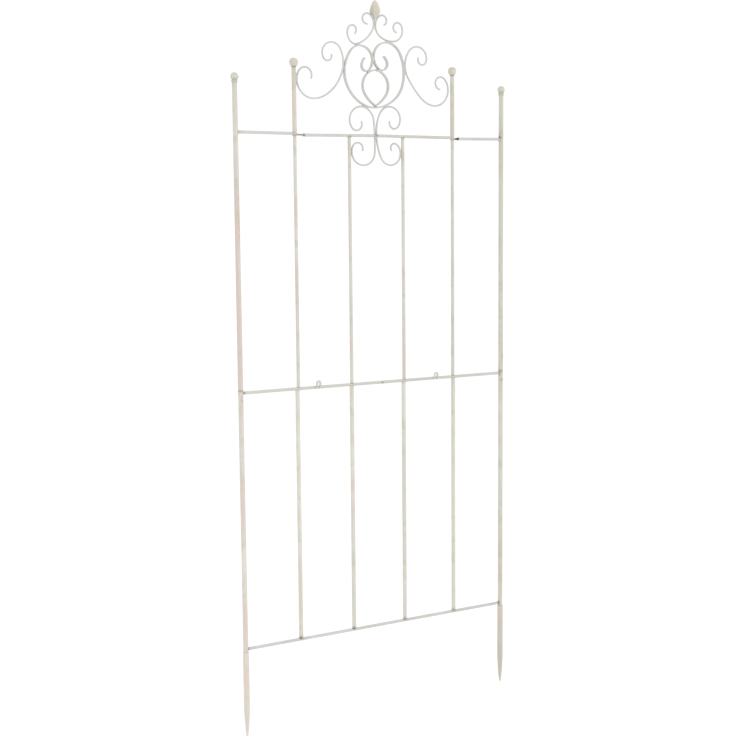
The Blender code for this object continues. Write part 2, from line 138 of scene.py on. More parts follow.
# ----------------------------------------------------------- mesh helpers
class Shape:
    """Vertices and faces gathered before they become one mesh."""

    def __init__(self):
        self.verts, self.faces, self.count = [], [], 0

    def add(self, verts, faces):
        verts = np.asarray(verts, float).reshape(-1, 3)
        self.verts.append(verts)
        self.faces += [tuple(i + self.count for i in face) for face in faces]
        self.count += len(verts)
        return self

    def loft(self, rings, loop=False, start=None, end=None):
        """Joins rings of equally many points; open ends close on a point."""
        rings = np.asarray(rings, float)
        n, m = rings.shape[:2]
        verts = [rings.reshape(-1, 3)]
        faces = []
        for i in range(n if loop else n - 1):
            a, b = i * m, ((i + 1) % n) * m
            faces += [(a + j, a + (j + 1) % m, b + (j + 1) % m, b + j) for j in range(m)]
        if not loop:
            for row, middle in ((0, start), (n - 1, end)):
                middle = rings[row].mean(axis=0) if middle is None else middle
                verts.append(np.asarray(middle, float).reshape(1, 3))
                c = n * m + len(verts) - 2
                faces += [(row * m + j, row * m + (j + 1) % m, c) for j in range(m)]
        return self.add(np.vstack(verts), faces)


def circle(sides, turn=0.0):
    a = np.arange(sides) * (2 * PI / sides) + turn
    return np.cos(a), np.sin(a), a


def ripple(t, a, seed, wave):
    """Smooth unevenness, -1 to 1, along a length t (m) and round an angle a."""
    t = np.asarray(t, float) / wave
    return (np.sin(2 * PI * t + 1.7 * seed + 1.1 * np.sin(a + seed)) +
            np.sin(2 * PI * 2.37 * t + 2.9 * seed + 1.3 * np.sin(2 * a + 2.1 * seed)) +
            np.sin(2 * PI * 0.41 * t + 0.7 * seed + 1.9 * np.cos(a - seed))) / 3


def rod_rings(radius, sides, t0, t1, seed, cope0=None, cope1=None, head=None, tail=None,
              step=4 * MM, uneven=0.010):
    """Rings of (t, u, v) for a straight round bar; cope0 and cope1 give t from v."""
    c, s, a = circle(sides)
    rows = []
    nib = 0.45 * MM

    def profile(pairs):
        return [(t + 0 * s, r + 0 * s) for t, r in pairs]

    if cope0:
        rows += [(cope0(k * radius * s), k * radius + 0 * s) for k in (0.15, 0.45, 0.75, 0.93, 1.0)]
        first = float(np.max(cope0(radius * s))) + 1.6 * MM
    else:
        rows += profile(head or [(t0, 0.5 * radius), (t0, radius - nib), (t0 + 0.13 * MM, radius - 0.13 * MM)])
        first = (head[-1][0] + 0.4 * MM) if head else t0 + nib
    if cope1:
        last = float(np.min(cope1(radius * s))) - 1.6 * MM
        closing = [(cope1(k * radius * s), k * radius + 0 * s) for k in (1.0, 0.93, 0.75, 0.45, 0.15)]
    else:
        closing = profile(tail or [(t1 - 0.13 * MM, radius - 0.13 * MM), (t1, radius - nib), (t1, 0.5 * radius)])
        last = (tail[0][0] - 0.4 * MM) if tail else t1 - nib
    count = max(2, round((last - first) / step) + 1)
    rows += profile([(t, radius) for t in np.linspace(first, last, count)])
    rows += closing
    rings = []
    for t, r in rows:
        swell = 1 + uneven * (ripple(t, a, seed, 0.085) - 0.4) + 0.4 * uneven * ripple(t, 3 * a, seed + 3, 0.019)
        rings.append(np.stack([t, r * swell * c, r * swell * s], axis=1))
    return np.array(rings)


def upright(rings, x):
    """(t, u, v) to a bar that stands at x."""
    return np.stack([x + rings[..., 1], rings[..., 2], rings[..., 0]], axis=-1)


def along(rings, origin, direction):
    """(t, u, v) to a bar from origin along direction, v pointing back."""
    d = Vector(direction).normalized()
    v = Vector((0, 1, 0))
    u = v.cross(d).normalized()
    v = d.cross(u).normalized()
    frame3 = np.array([list(d), list(u), list(v)])
    return np.asarray(origin, float) + rings @ frame3


def level(rings, z):
    """(t, u, v) with t the x coordinate, for a rail at height z."""
    return np.stack([rings[..., 0], rings[..., 2], z + rings[..., 1]], axis=-1)


def sloping(rings, xa, za, xb, zb):
    """Like level, but the axis runs from (xa, za) to (xb, zb)."""
    out = level(rings, 0.0)
    out[..., 2] += za + (zb - za) * np.clip((out[..., 0] - xa) / (xb - xa), -0.02, 1.02)
    return out


def turned_rings(profile, sides, seed, uneven=0.0, wave=0.02, turn=0.0, facet=None):
    """(r, z) pairs turned about an upright axis, as rings of (x, y, z)."""
    c, s, a = circle(sides, turn)
    rings = []
    for r, z in profile:
        k = 1 - uneven * (0.5 + 0.5 * ripple(z, a, seed, wave))
        if facet is not None:
            k = k * facet(a, z)
        rings.append(np.stack([r * k * c, r * k * s, z + 0 * c], axis=1))
    return np.array(rings)


def through(points, parts=3):
    """A smooth curve through (r, z) points, never wider than the widest of them."""
    p = np.array([points[0]] + list(points) + [points[-1]], float)
    widest = p[:, 0].max()
    out = []
    for i in range(1, len(p) - 2):
        a, b, c, d = p[i - 1], p[i], p[i + 1], p[i + 2]
        for k in range(parts):
            t = k / parts
            q = 0.5 * (2 * b + (c - a) * t + (2 * a - 5 * b + 4 * c - d) * t ** 2 + (3 * b - a - 3 * c + d) * t ** 3)
            out.append((min(q[0], widest), q[1]))
    out.append(tuple(p[-1]))
    return out


def sweep(points, normals, section, scale=None):
    """Rings of a section (u, v) along (x, z) points; v is the Y direction."""
    rings = []
    for i, ((x, z), (nx, nz)) in enumerate(zip(points, normals)):
        su, sv = scale[i] if scale is not None else (1.0, 1.0)
        u, v = section[:, 0] * su, section[:, 1] * sv
        rings.append(np.stack([x + nx * u, v, z + nz * u], axis=1))
    return np.array(rings)


def tangent_frames(path, closed):
    path = np.asarray(path, float)
    if closed:
        ahead, behind = np.roll(path, -1, axis=0), np.roll(path, 1, axis=0)
    else:
        ahead = np.vstack([path[1:], path[-1:]])
        behind = np.vstack([path[:1], path[:-1]])
    t = ahead - behind
    t /= np.linalg.norm(t, axis=1)[:, None]
    return t


def bead_rings(path, radius, seed, closed=False, sides=14, out=None, squash=1.0):
    """A lumpy weld bead along a 3-D path (m), finely resampled."""
    path = np.asarray(path, float)
    loop = np.vstack([path, path[:1]]) if closed else path
    seg = np.linalg.norm(np.diff(loop, axis=0), axis=1)
    run = np.concatenate([[0], np.cumsum(seg)])
    total = run[-1]
    n = max(10, round(total / (0.55 * MM)))
    s = np.linspace(0, total, n, endpoint=not closed)
    fine = np.stack([np.interp(s, run, loop[:, k]) for k in range(3)], axis=1)
    t = tangent_frames(fine, closed)
    hint = np.array(out if out is not None else (0.0, 0.0, 1.0), float)
    e1 = hint - t * (t @ hint)[:, None]
    bad = np.linalg.norm(e1, axis=1) < 1e-6
    e1[bad] = np.array([1.0, 0.0, 0.0])
    e1 /= np.linalg.norm(e1, axis=1)[:, None]
    e2 = np.cross(t, e1)
    waves = max(2, round(total / (2.3 * MM)))
    c, sn, a = circle(sides)
    rings = []
    for i in range(n):
        p = s[i] / total
        lump = 1 + 0.13 * math.sin(2 * PI * waves * p + seed) + 0.10 * math.sin(2 * PI * max(1, waves // 3) * p + 2.3 * seed)
        lump *= 1 + 0.08 * np.sin(2 * a + 2 * PI * 2 * p + seed) + 0.06 * np.sin(3 * a - 2 * PI * waves * p + 1.9 * seed)
        if not closed:
            edge = min(s[i], total - s[i]) / (1.4 * radius)
            lump = lump * (math.sqrt(max(0.0, 1 - (1 - min(1, edge)) ** 2)) * 0.96 + 0.04)
        r = radius * lump
        rings.append(fine[i] + e1[i] * (r * c)[:, None] * squash + e2[i] * (r * sn)[:, None])
    return np.array(rings)


def blob_rings(centre, heading, a, b, c, seed, across=18, rows=15):
    """A lumpy drop of weld at (x, y, z), long way along a heading in XZ."""
    ca, sa = math.cos(heading), math.sin(heading)
    cs, sn, ang = circle(across)
    rings = []
    for i in range(1, rows):
        lat = PI * i / rows
        lump = 1 + 0.09 * np.sin(3 * ang + 2.7 * lat + seed) + 0.07 * np.sin(5 * lat + 2 * ang + 2 * seed)
        t = -a * math.cos(lat) + 0 * ang
        u = b * math.sin(lat) * cs * lump
        v = c * math.sin(lat) * sn * lump
        rings.append(np.stack([centre[0] + t * ca - u * sa, centre[1] + v, centre[2] + t * sa + u * ca], axis=1))
    return np.array(rings)


# -------------------------------------------------------------- materials
def linear(v):
    return v / 12.92 if v <= 0.04045 else ((v + 0.055) / 1.055) ** 2.4


def rgba(rgb):
    """sRGB 0-255 to linear with alpha."""
    return (*[linear(v / 255) for v in rgb], 1.0)


class Graph:
    """Short calls for building a node tree."""

    def __init__(self, name):
        self.mat = bpy.data.materials.new(name)
        self.mat.use_nodes = True
        self.tree = self.mat.node_tree
        self.shader = self.tree.nodes["Principled BSDF"]
        self.place = self.new("ShaderNodeTexCoord").outputs["Object"]

    def new(self, kind, **props):
        node = self.tree.nodes.new(kind)
        for key, value in props.items():
            setattr(node, key, value)
        return node

    def set(self, socket, value):
        if hasattr(value, "is_linked"):
            self.tree.links.new(value, socket)
        else:
            socket.default_value = value

    def stretch(self, scale, shift=(0, 0, 0)):
        node = self.new("ShaderNodeMapping")
        self.set(node.inputs["Vector"], self.place)
        node.inputs["Scale"].default_value = scale
        node.inputs["Location"].default_value = shift
        return node.outputs["Vector"]

    def noise(self, where, scale, detail=2.0, rough=0.5, warp=0.0):
        node = self.new("ShaderNodeTexNoise")
        self.set(node.inputs["Vector"], where)
        node.inputs["Scale"].default_value = scale
        node.inputs["Detail"].default_value = detail
        node.inputs["Roughness"].default_value = rough
        node.inputs["Distortion"].default_value = warp
        return node.outputs["Fac"]

    def cells(self, where, scale, feature="F1"):
        node = self.new("ShaderNodeTexVoronoi", feature=feature)
        self.set(node.inputs["Vector"], where)
        node.inputs["Scale"].default_value = scale
        return node.outputs["Distance"]

    def span(self, value, a, b, c=0.0, d=1.0, smooth=True):
        node = self.new("ShaderNodeMapRange", interpolation_type="SMOOTHSTEP" if smooth else "LINEAR")
        node.clamp = True if not smooth else node.clamp
        self.set(node.inputs["Value"], value)
        for key, v in (("From Min", a), ("From Max", b), ("To Min", c), ("To Max", d)):
            self.set(node.inputs[key], v)
        return node.outputs["Result"]

    def math(self, op, a, b=0.0):
        node = self.new("ShaderNodeMath", operation=op)
        self.set(node.inputs[0], a)
        self.set(node.inputs[1], b)
        return node.outputs[0]

    def mix(self, factor, a, b, kind="MIX"):
        node = self.new("ShaderNodeMix", data_type="RGBA", blend_type=kind)
        self.set(node.inputs["Factor"], factor)
        self.set(node.inputs[6], a)
        self.set(node.inputs[7], b)
        return node.outputs[2]

    def attribute(self, name):
        node = self.new("ShaderNodeAttribute", attribute_name=name, attribute_type="GEOMETRY")
        return node.outputs["Fac"]

    def bump(self, height, strength, distance, under=None):
        node = self.new("ShaderNodeBump")
        node.inputs["Strength"].default_value = strength
        node.inputs["Distance"].default_value = distance
        self.set(node.inputs["Height"], height)
        if under is not None:
            self.set(node.inputs["Normal"], under)
        return node.outputs["Normal"]


def paint(name, base, pale, pink, green, pink_share, green_share, seed, rough=0.52, speck=1.0,
          lift=(1.045, 1.055, 1.055)):
    """Brushed antique cream over steel: patches, rub-through, dirt and painted shade."""
    g = Graph(name)
    g.shader.inputs["Specular IOR Level"].default_value = 0.22
    shift = (seed * 3.17, seed * 1.31, seed * 2.03)
    long = g.stretch((1.0, 1.0, 0.42), shift)
    even = g.stretch((1.0, 1.0, 1.0), shift)
    streak = g.stretch((1.0, 1.0, 0.10), shift)

    patch = g.noise(long, 16.0, 3.0, 0.55, 0.6)
    colour = g.mix(g.span(patch, 0.36, 0.66), rgba(base), rgba(pale))
    pinkish = g.span(g.noise(long, 11.0, 3.0, 0.6, 0.8), 0.62 - 0.22 * pink_share, 0.74 - 0.20 * pink_share)
    pinkish = g.math("MAXIMUM", pinkish, g.attribute("pink"))
    colour = g.mix(g.math("MULTIPLY", pinkish, 0.85), colour, rgba(pink))
    greenish = g.span(g.noise(even, 21.0, 3.0, 0.6, 0.5), 0.60 - 0.2 * green_share, 0.74 - 0.2 * green_share)
    greenish = g.math("MAXIMUM", greenish, g.attribute("green"))
    colour = g.mix(g.math("MULTIPLY", greenish, 0.8), colour, rgba(green))

    # Brush streaks and a fine mottle.
    lines = g.noise(streak, 520.0, 3.0, 0.6)
    colour = g.mix(g.span(lines, 0.35, 0.75, 0.0, 0.16), colour, rgba((176, 164, 146)))
    mottle = g.noise(even, 260.0, 4.0, 0.65)
    colour = g.mix(g.span(mottle, 0.42, 0.74, 0.0, 0.20), colour, rgba((190, 176, 158)))

    # Rubbed places: the brown undercoat shows in flecks, more where marked.
    rub = g.attribute("rub")
    flecks = g.noise(long, 150.0, 5.0, 0.7, 1.2)
    level_at = g.math("SUBTRACT", 0.735 + 0.02 * (1 - speck), g.math("MULTIPLY", rub, 0.20))
    worn = g.span(flecks, level_at, g.math("ADD", level_at, 0.035))
    worn = g.math("MULTIPLY", worn, 0.75)
    brown = g.mix(g.noise(even, 420.0, 2.0), rgba((120, 92, 70)), rgba((168, 138, 112)))
    colour = g.mix(worn, colour, brown)
    veil = g.math("MULTIPLY", rub, g.span(flecks, 0.35, 0.62, 0.15, 0.75))
    colour = g.mix(veil, colour, rgba((193, 168, 150)))

    # Dirt and painted shade in the corners, along the seams and under the finials, and burnt paint at the joints.
    grime_and_shade = g.attribute("grime_and_shade")
    patchy = g.math("MULTIPLY", grime_and_shade, g.span(g.noise(even, 330.0, 4.0, 0.65), 0.28, 0.66, 0.45, 1.0))
    colour = g.mix(g.math("MULTIPLY", patchy, 0.80), colour, rgba((134, 124, 104)))
    dark = g.attribute("dark")
    colour = g.mix(g.math("MULTIPLY", dark, g.span(g.noise(even, 500.0, 3.0), 0.30, 0.55, 0.55, 1.0)),
                   colour, rgba((62, 56, 48)))
    aside = g.new("ShaderNodeSeparateXYZ")
    g.set(aside.inputs[0], g.place)
    colour = g.mix(g.span(aside.outputs[0], -0.42, 0.42, 0.0, 1.0, smooth=False), colour,
                   g.mix(1.0, colour, (0.925, 0.940, 0.915, 1.0), "MULTIPLY"))
    # Below the mid rail the colour is lifted a little. The shade mask darkens and greys marked places: painted shade on
    # the tops of the finial balls and the sides of the bud, and elsewhere a plainly darker tone.
    colour = g.mix(g.span(aside.outputs[2], 0.7000, 0.7060, 1.0, 0.0, smooth=False), colour,
                   g.mix(1.0, colour, (*lift, 1.0), "MULTIPLY"))
    colour = g.mix(g.attribute("shade"), colour, g.mix(1.0, colour, (0.69, 0.72, 0.74, 1.0), "MULTIPLY"))
    g.set(g.shader.inputs["Base Color"], colour)

    rough_at = g.span(mottle, 0.3, 0.7, rough - 0.05, rough + 0.09)
    rough_at = g.math("ADD", rough_at, g.math("MULTIPLY", g.math("MAXIMUM", worn, patchy), 0.18))
    g.set(g.shader.inputs["Roughness"], rough_at)

    coat = g.bump(g.noise(long, 240.0, 3.0, 0.55), 0.22, 0.0006)
    coat = g.bump(g.noise(even, 900.0, 3.0, 0.6), 0.16, 0.0003, coat)
    edge = g.bump(g.math("SUBTRACT", 1.0, worn), 0.35, 0.00012, coat)
    g.set(g.shader.inputs["Normal"], edge)
    return g.mat


def bare_steel(name, base, seed):
    """Blackened steel with a brown bloom on it."""
    g = Graph(name)
    even = g.stretch((1.0, 1.0, 1.0), (seed * 1.9, seed * 2.7, seed))
    cloud = g.noise(even, 140.0, 4.0, 0.6, 0.5)
    aside = g.new("ShaderNodeSeparateXYZ")
    g.set(aside.inputs[0], g.place)
    right = g.span(g.math("ABSOLUTE", g.math("ADD", aside.outputs[0], 0.22)), 0.05, 0.10)
    colour = g.mix(g.span(cloud, 0.34, 0.66), rgba((188, 186, 179)), rgba((200, 197, 189)))
    colour = g.mix(right, colour, g.mix(g.span(cloud, 0.34, 0.66), rgba(base), rgba((124, 119, 112))))
    rust = g.span(g.noise(even, 320.0, 5.0, 0.7, 0.8), 0.52, 0.66)
    colour = g.mix(g.math("MULTIPLY", rust, 0.65), colour, rgba((112, 82, 60)))
    grime_and_shade = g.attribute("grime_and_shade")
    colour = g.mix(g.math("MULTIPLY", grime_and_shade, 0.5), colour, rgba((48, 42, 36)))
    g.set(g.shader.inputs["Base Color"], colour)
    g.set(g.shader.inputs["Metallic"], g.span(rust, 0.0, 1.0, 0.45, 0.10))
    g.set(g.shader.inputs["Roughness"], g.span(rust, 0.0, 1.0, 0.40, 0.78))
    skin = g.bump(cloud, 0.25, 0.0004)
    g.set(g.shader.inputs["Normal"], g.bump(g.noise(even, 1100.0, 3.0, 0.6), 0.2, 0.0002, skin))
    return g.mat


CREAM, PALE = (209, 206, 198), (217, 214, 206)
PINK, GREEN = (214, 197, 188), (199, 199, 183)
MATERIALS = {
    "post_paint": paint("post_paint_antique", CREAM, PALE, PINK, GREEN, 0.75, 0.45, 1.0),
    "bar_paint": paint("bar_paint_antique", (208, 205, 196), PALE, PINK, GREEN, 0.40, 0.40, 2.0),
    "rail_paint": paint("rail_paint_antique", (201, 199, 198), (209, 207, 207), (205, 196, 193), (203, 204, 188), 0.15, 0.40, 3.0,
                        lift=(0.99, 1.003, 1.015)),
    "scroll_paint": paint("scroll_paint_antique", (202, 201, 202), (209, 208, 208), (206, 199, 196), (197, 198, 193), 0.15, 0.40, 4.0),
    "spike_paint": paint("spike_paint_antique", (214, 208, 199), (220, 215, 207), (216, 200, 190), (206, 204, 192), 0.55, 0.35, 5.0, rough=0.58),
    "finial_paint": paint("finial_paint_antique", (212, 209, 199), (218, 216, 208), (213, 200, 192), (207, 206, 191), 0.30, 0.50, 6.0),
    "dark_steel": bare_steel("dark_steel_oiled", (92, 88, 83), 7.0),
}

# Marked places, in metres: (x, z, reach x, reach z, strength).
GRIME_AND_SHADE, DARK, RUB, PINKED, GREENED, SHADE = [], [], [], [], [], []
# Grime marks: dirt and painted shade where the bars meet the rails.
for x in LOWER_BAR_X:
    GRIME_AND_SHADE += [(x, Z_BOTTOM + 4.5 * MM, 7 * MM, 6 * MM, 0.75), (x, Z_MID - 4.5 * MM, 6 * MM, 5 * MM, 0.15)]
for x in UPPER_BAR_X:
    GRIME_AND_SHADE += [(x, Z_MID + 4.5 * MM, 6 * MM, 4 * MM, 0.15), (x, Z_TOP - 4.5 * MM, 6 * MM, 5 * MM, 0.5)]
for x in (-POST_X, POST_X):
    # Dirt and painted shade in the inner corners where the rails meet the posts.
    inner = x - math.copysign(POST_R, x)
    GRIME_AND_SHADE += [(inner, z, 5 * MM, 7 * MM, 0.3 if z == Z_TOP else 0.6) for z in (Z_BOTTOM, Z_MID, Z_TOP)]
    # Dirt and painted shade along the seam; painted shade under the finial collar.
    GRIME_AND_SHADE += [(x, Z_SEAM, 12 * MM, 2.2 * MM, 0.75), (x, Z_COLLAR + 3.6 * MM, 12 * MM, 4.0 * MM, 0.30),
              (x, Z_COLLAR + 8.5 * MM, 12 * MM, 2.0 * MM, 0.45), (x, Z_SHOULDER, 10 * MM, 2.0 * MM, 0.05)]
# Painted shade under the inner finial bulbs.
for x in (UPPER_BAR_X[0], UPPER_BAR_X[3]):
    GRIME_AND_SHADE += [(x, CREST_POST_TOP, 9 * MM, 3.0 * MM, 0.7)]
# Burnt spots: (x, z, reach, reach, strength).
DARK += [(-0.243, 0.0392, 3.2 * MM, 2.8 * MM, 0.85), (-0.083, 0.0390, 3.2 * MM, 2.6 * MM, 0.75),
         (0.077, 0.0395, 2.6 * MM, 2.0 * MM, 0.45), (0.237, 0.0395, 2.6 * MM, 2.0 * MM, 0.40),
         (0.3915, 0.0365, 2.6 * MM, 3.6 * MM, 0.70), (-0.3915, 0.7003, 3.0 * MM, 3.4 * MM, 0.50),
         (0.3925, 1.3555, 3.6 * MM, 4.6 * MM, 0.85), (0.0129, 0.6992, 3.2 * MM, 3.2 * MM, 0.80),
         (0.2430, 1.3385, 2.2 * MM, 2.4 * MM, 0.55), (-0.0005, 1.3515, 2.6 * MM, 3.4 * MM, 0.35),
         (-0.3935, 0.6850, 1.6 * MM, 5.0 * MM, 0.50), (-0.4030, 0.6880, 1.6 * MM, 1.6 * MM, 0.40),
         (-0.3960, 0.6770, 1.5 * MM, 1.5 * MM, 0.35), (-0.3998, 0.6905, 1.6 * MM, 1.6 * MM, 0.45),
         (-0.3905, 1.4830, 3.4 * MM, 4.0 * MM, 0.95), (0.3935, 1.3562, 1.6 * MM, 1.8 * MM, 0.6),
         (0.3985, 1.3544, 1.6 * MM, 1.6 * MM, 0.5), (0.0080, 1.6565, 2.2 * MM, 2.4 * MM, 0.7)]
RUB += [(-0.3960, 1.133, 6 * MM, 70 * MM, 0.75), (0.4040, 0.757, 6 * MM, 38 * MM, 0.85),
        (0.4020, 0.150, 12 * MM, 110 * MM, 0.35), (-0.2370, 1.353, 6 * MM, 9 * MM, 0.45),
        (0.0745, 1.304, 4 * MM, 14 * MM, 0.45), (0.0, 1.672, 9 * MM, 9 * MM, 0.25)]
PINKED += [(-0.3965, 1.40, 9 * MM, 55 * MM, 0.55), (-0.3965, 1.13, 9 * MM, 75 * MM, 0.85),
           (-0.2385, 1.43, 8 * MM, 85 * MM, 0.75), (0.2400, 1.420, 8 * MM, 14 * MM, 0.55),
           (0.4020, 0.765, 10 * MM, 60 * MM, 0.8), (-0.4020, 0.05, 12 * MM, 160 * MM, 0.55),
           (0.4010, 0.14, 12 * MM, 170 * MM, 0.5), (-0.2385, 0.16, 8 * MM, 120 * MM, 0.5),
           (0.0, 1.672, 14 * MM, 22 * MM, 0.85), (-0.2370, 0.90, 8 * MM, 90 * MM, 0.3)]
GREENED += [(-0.4000, 1.470, 12 * MM, 26 * MM, 0.8), (0.4000, 1.475, 12 * MM, 60 * MM, 0.6),
            (0.2390, 1.50, 10 * MM, 30 * MM, 0.15), (-0.2330, 1.50, 10 * MM, 26 * MM, 0.6),
            (0.4000, 0.68, 12 * MM, 60 * MM, 0.7), (0.2390, 1.37, 10 * MM, 40 * MM, 0.10),
            (0.0, 1.622, 7 * MM, 20 * MM, 0.6), (-0.4030, -0.14, 12 * MM, 60 * MM, 0.7),
            (-0.2370, 1.523, 14 * MM, 12 * MM, 0.9), (0.4000, 1.420, 12 * MM, 46 * MM, 0.45),
            (-0.3200, Z_MID, 90 * MM, 6 * MM, 0.7), (-0.1500, Z_MID, 90 * MM, 6 * MM, 0.7), (0.0200, Z_MID, 90 * MM, 6 * MM, 0.8),
            (0.2000, Z_MID, 90 * MM, 6 * MM, 0.4), (0.4000, 1.200, 12 * MM, 110 * MM, 0.5), (0.4000, 1.310, 12 * MM, 40 * MM, 0.5)]
# Shade marks: painted shade on the sides of the bud and the tops of the finial balls; the rest darken the right spike,
# right post, bar 4 and crest post R.
SHADE += [(0.4000, -0.10, 14 * MM, 130 * MM, 0.52), (0.4000, 1.3670, 12 * MM, 7 * MM, 0.35),
          (-0.0120, 1.668, 4 * MM, 14 * MM, 0.40), (0.0100, 1.680, 4 * MM, 14 * MM, 0.25),
          (-0.4000, 1.4905, 11 * MM, 4 * MM, 0.30), (0.4000, 1.4925, 11 * MM, 4 * MM, 0.35), (0.2390, 1.5330, 12 * MM, 4.5 * MM, 0.35), (0.2390, 1.4350, 9 * MM, 6 * MM, 0.20),
          (0.2390, 1.000, 9 * MM, 330 * MM, 0.13), (0.4000, 0.980, 12 * MM, 270 * MM, 0.05), (0.4000, 0.300, 12 * MM, 300 * MM, 0.12)]


def mask(verts, places):
    """How strongly each vertex lies in any of the marked places."""
    total = np.zeros(len(verts))
    for x, z, rx, rz, strength in places:
        d = np.sqrt(((verts[:, 0] - x) / rx) ** 2 + ((verts[:, 2] - z) / rz) ** 2)
        t = np.clip(1.35 - d, 0, 1)
        total = np.maximum(total, strength * t * t * (3 - 2 * t))
    return total


def piece(name, shape, slot, body, *nodes, angle=38.0, grime_and_shade=0.0, dark=0.0, cutters=()):
    """One finished mesh: outward faces, smooth shading, paint, body and slot."""
    verts = np.vstack(shape.verts)
    mesh = bpy.data.meshes.new(name)
    mesh.from_pydata(verts.tolist(), [], shape.faces)
    bm = bmesh.new()
    bm.from_mesh(mesh)
    bmesh.ops.remove_doubles(bm, verts=bm.verts, dist=1e-7)
    bmesh.ops.recalc_face_normals(bm, faces=bm.faces)
    bm.to_mesh(mesh)
    bm.free()
    obj = bpy.data.objects.new(name, mesh)
    SCENE.collection.objects.link(obj)
    for tool_shape in cutters:
        tool_mesh = bpy.data.meshes.new("tool")
        tool_mesh.from_pydata(np.vstack(tool_shape.verts).tolist(), [], tool_shape.faces)
        bm = bmesh.new()
        bm.from_mesh(tool_mesh)
        bmesh.ops.recalc_face_normals(bm, faces=bm.faces)
        bm.to_mesh(tool_mesh)
        bm.free()
        tool = bpy.data.objects.new("tool", tool_mesh)
        SCENE.collection.objects.link(tool)
        mod = obj.modifiers.new("cut", "BOOLEAN")
        mod.operation, mod.solver, mod.object = "DIFFERENCE", "EXACT", tool
        bpy.context.view_layer.update()
        done = bpy.data.meshes.new_from_object(obj.evaluated_get(bpy.context.evaluated_depsgraph_get()))
        obj.modifiers.clear()
        old, obj.data = obj.data, done
        bpy.data.meshes.remove(old)
        bpy.data.objects.remove(tool)
        bpy.data.meshes.remove(tool_mesh)
    mesh = obj.data
    mesh.name = name
    mesh.materials.clear()
    mesh.materials.append(MATERIALS[slot])
    mesh.polygons.foreach_set("use_smooth", [True] * len(mesh.polygons))
    mesh.set_sharp_from_angle(angle=math.radians(angle))
    co = np.zeros(len(mesh.vertices) * 3)
    mesh.vertices.foreach_get("co", co)
    co = co.reshape(-1, 3)
    for key, places, least in (("grime_and_shade", GRIME_AND_SHADE, grime_and_shade), ("dark", DARK, dark), ("rub", RUB, 0.0),
                               ("pink", PINKED, 0.0), ("green", GREENED, 0.0), ("shade", SHADE, 0.0)):
        layer = mesh.attributes.new(key, "FLOAT", "POINT")
        layer.data.foreach_set("value", np.maximum(mask(co, places), least).astype(np.float32))
    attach(obj, body)
    if nodes:
        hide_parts(*nodes)
    return obj


def solid(rings, loop=False):
    return Shape().loft(rings, loop=loop)


# ------------------------------------------------------------ posts, spikes
def on_rail(z, sign, radius=SADDLE_R):
    """Where a bar that comes from above (+1) or below (-1) meets a rail."""
    return lambda v: z + sign * np.maximum(np.sqrt(np.maximum(radius ** 2 - v ** 2, 0.0)), SADDLE_Z)


def at_post(x, sign, radius):
    """Where a rail meets a post at x, on its +X (+1) or -X (-1) side."""
    return lambda v: x + sign * np.sqrt(np.maximum(radius ** 2 - v ** 2, 0.0))


def tube(x, z0, z1, seed):
    """A tube with softened rims, as rings that run out, up, in and down."""
    n = round((z1 - z0) / (5 * MM))
    e = 0.25 * MM
    outer = [(POST_R - e, z0), (POST_R - 0.07 * MM, z0 + 0.07 * MM)]
    outer += [(POST_R, z) for z in np.linspace(z0 + e, z1 - e, n)]
    outer += [(POST_R - 0.07 * MM, z1 - 0.07 * MM), (POST_R - e, z1)]
    inner = [(BORE_R + e, z1), (BORE_R, z1 - e)]
    inner += [(BORE_R, z) for z in np.linspace(z1 - 0.04, z0 + 0.04, 6)]
    inner += [(BORE_R, z0 + e), (BORE_R + e, z0)]
    rings = turned_rings(outer + inner, 48, seed)
    a = circle(48)[2]
    for k, (r, z) in enumerate(outer):
        swell = 1 + 0.006 * (ripple(z, a, seed, 0.11) - 0.5) + 0.003 * ripple(z, 3 * a, seed + 2, 0.017)
        rings[k, :, 0] *= swell
        rings[k, :, 1] *= swell
    rings[..., 0] += x
    return rings


def drill(origin, direction, radius, length, sides=32):
    """A plain drill for cutting a hole."""
    rings = rod_rings(radius, sides, 0.0, length, 0, head=[(0.0, radius)], tail=[(length, radius)], uneven=0.0,
                      step=length)
    return solid(along(rings[[0, -1]], origin, direction))


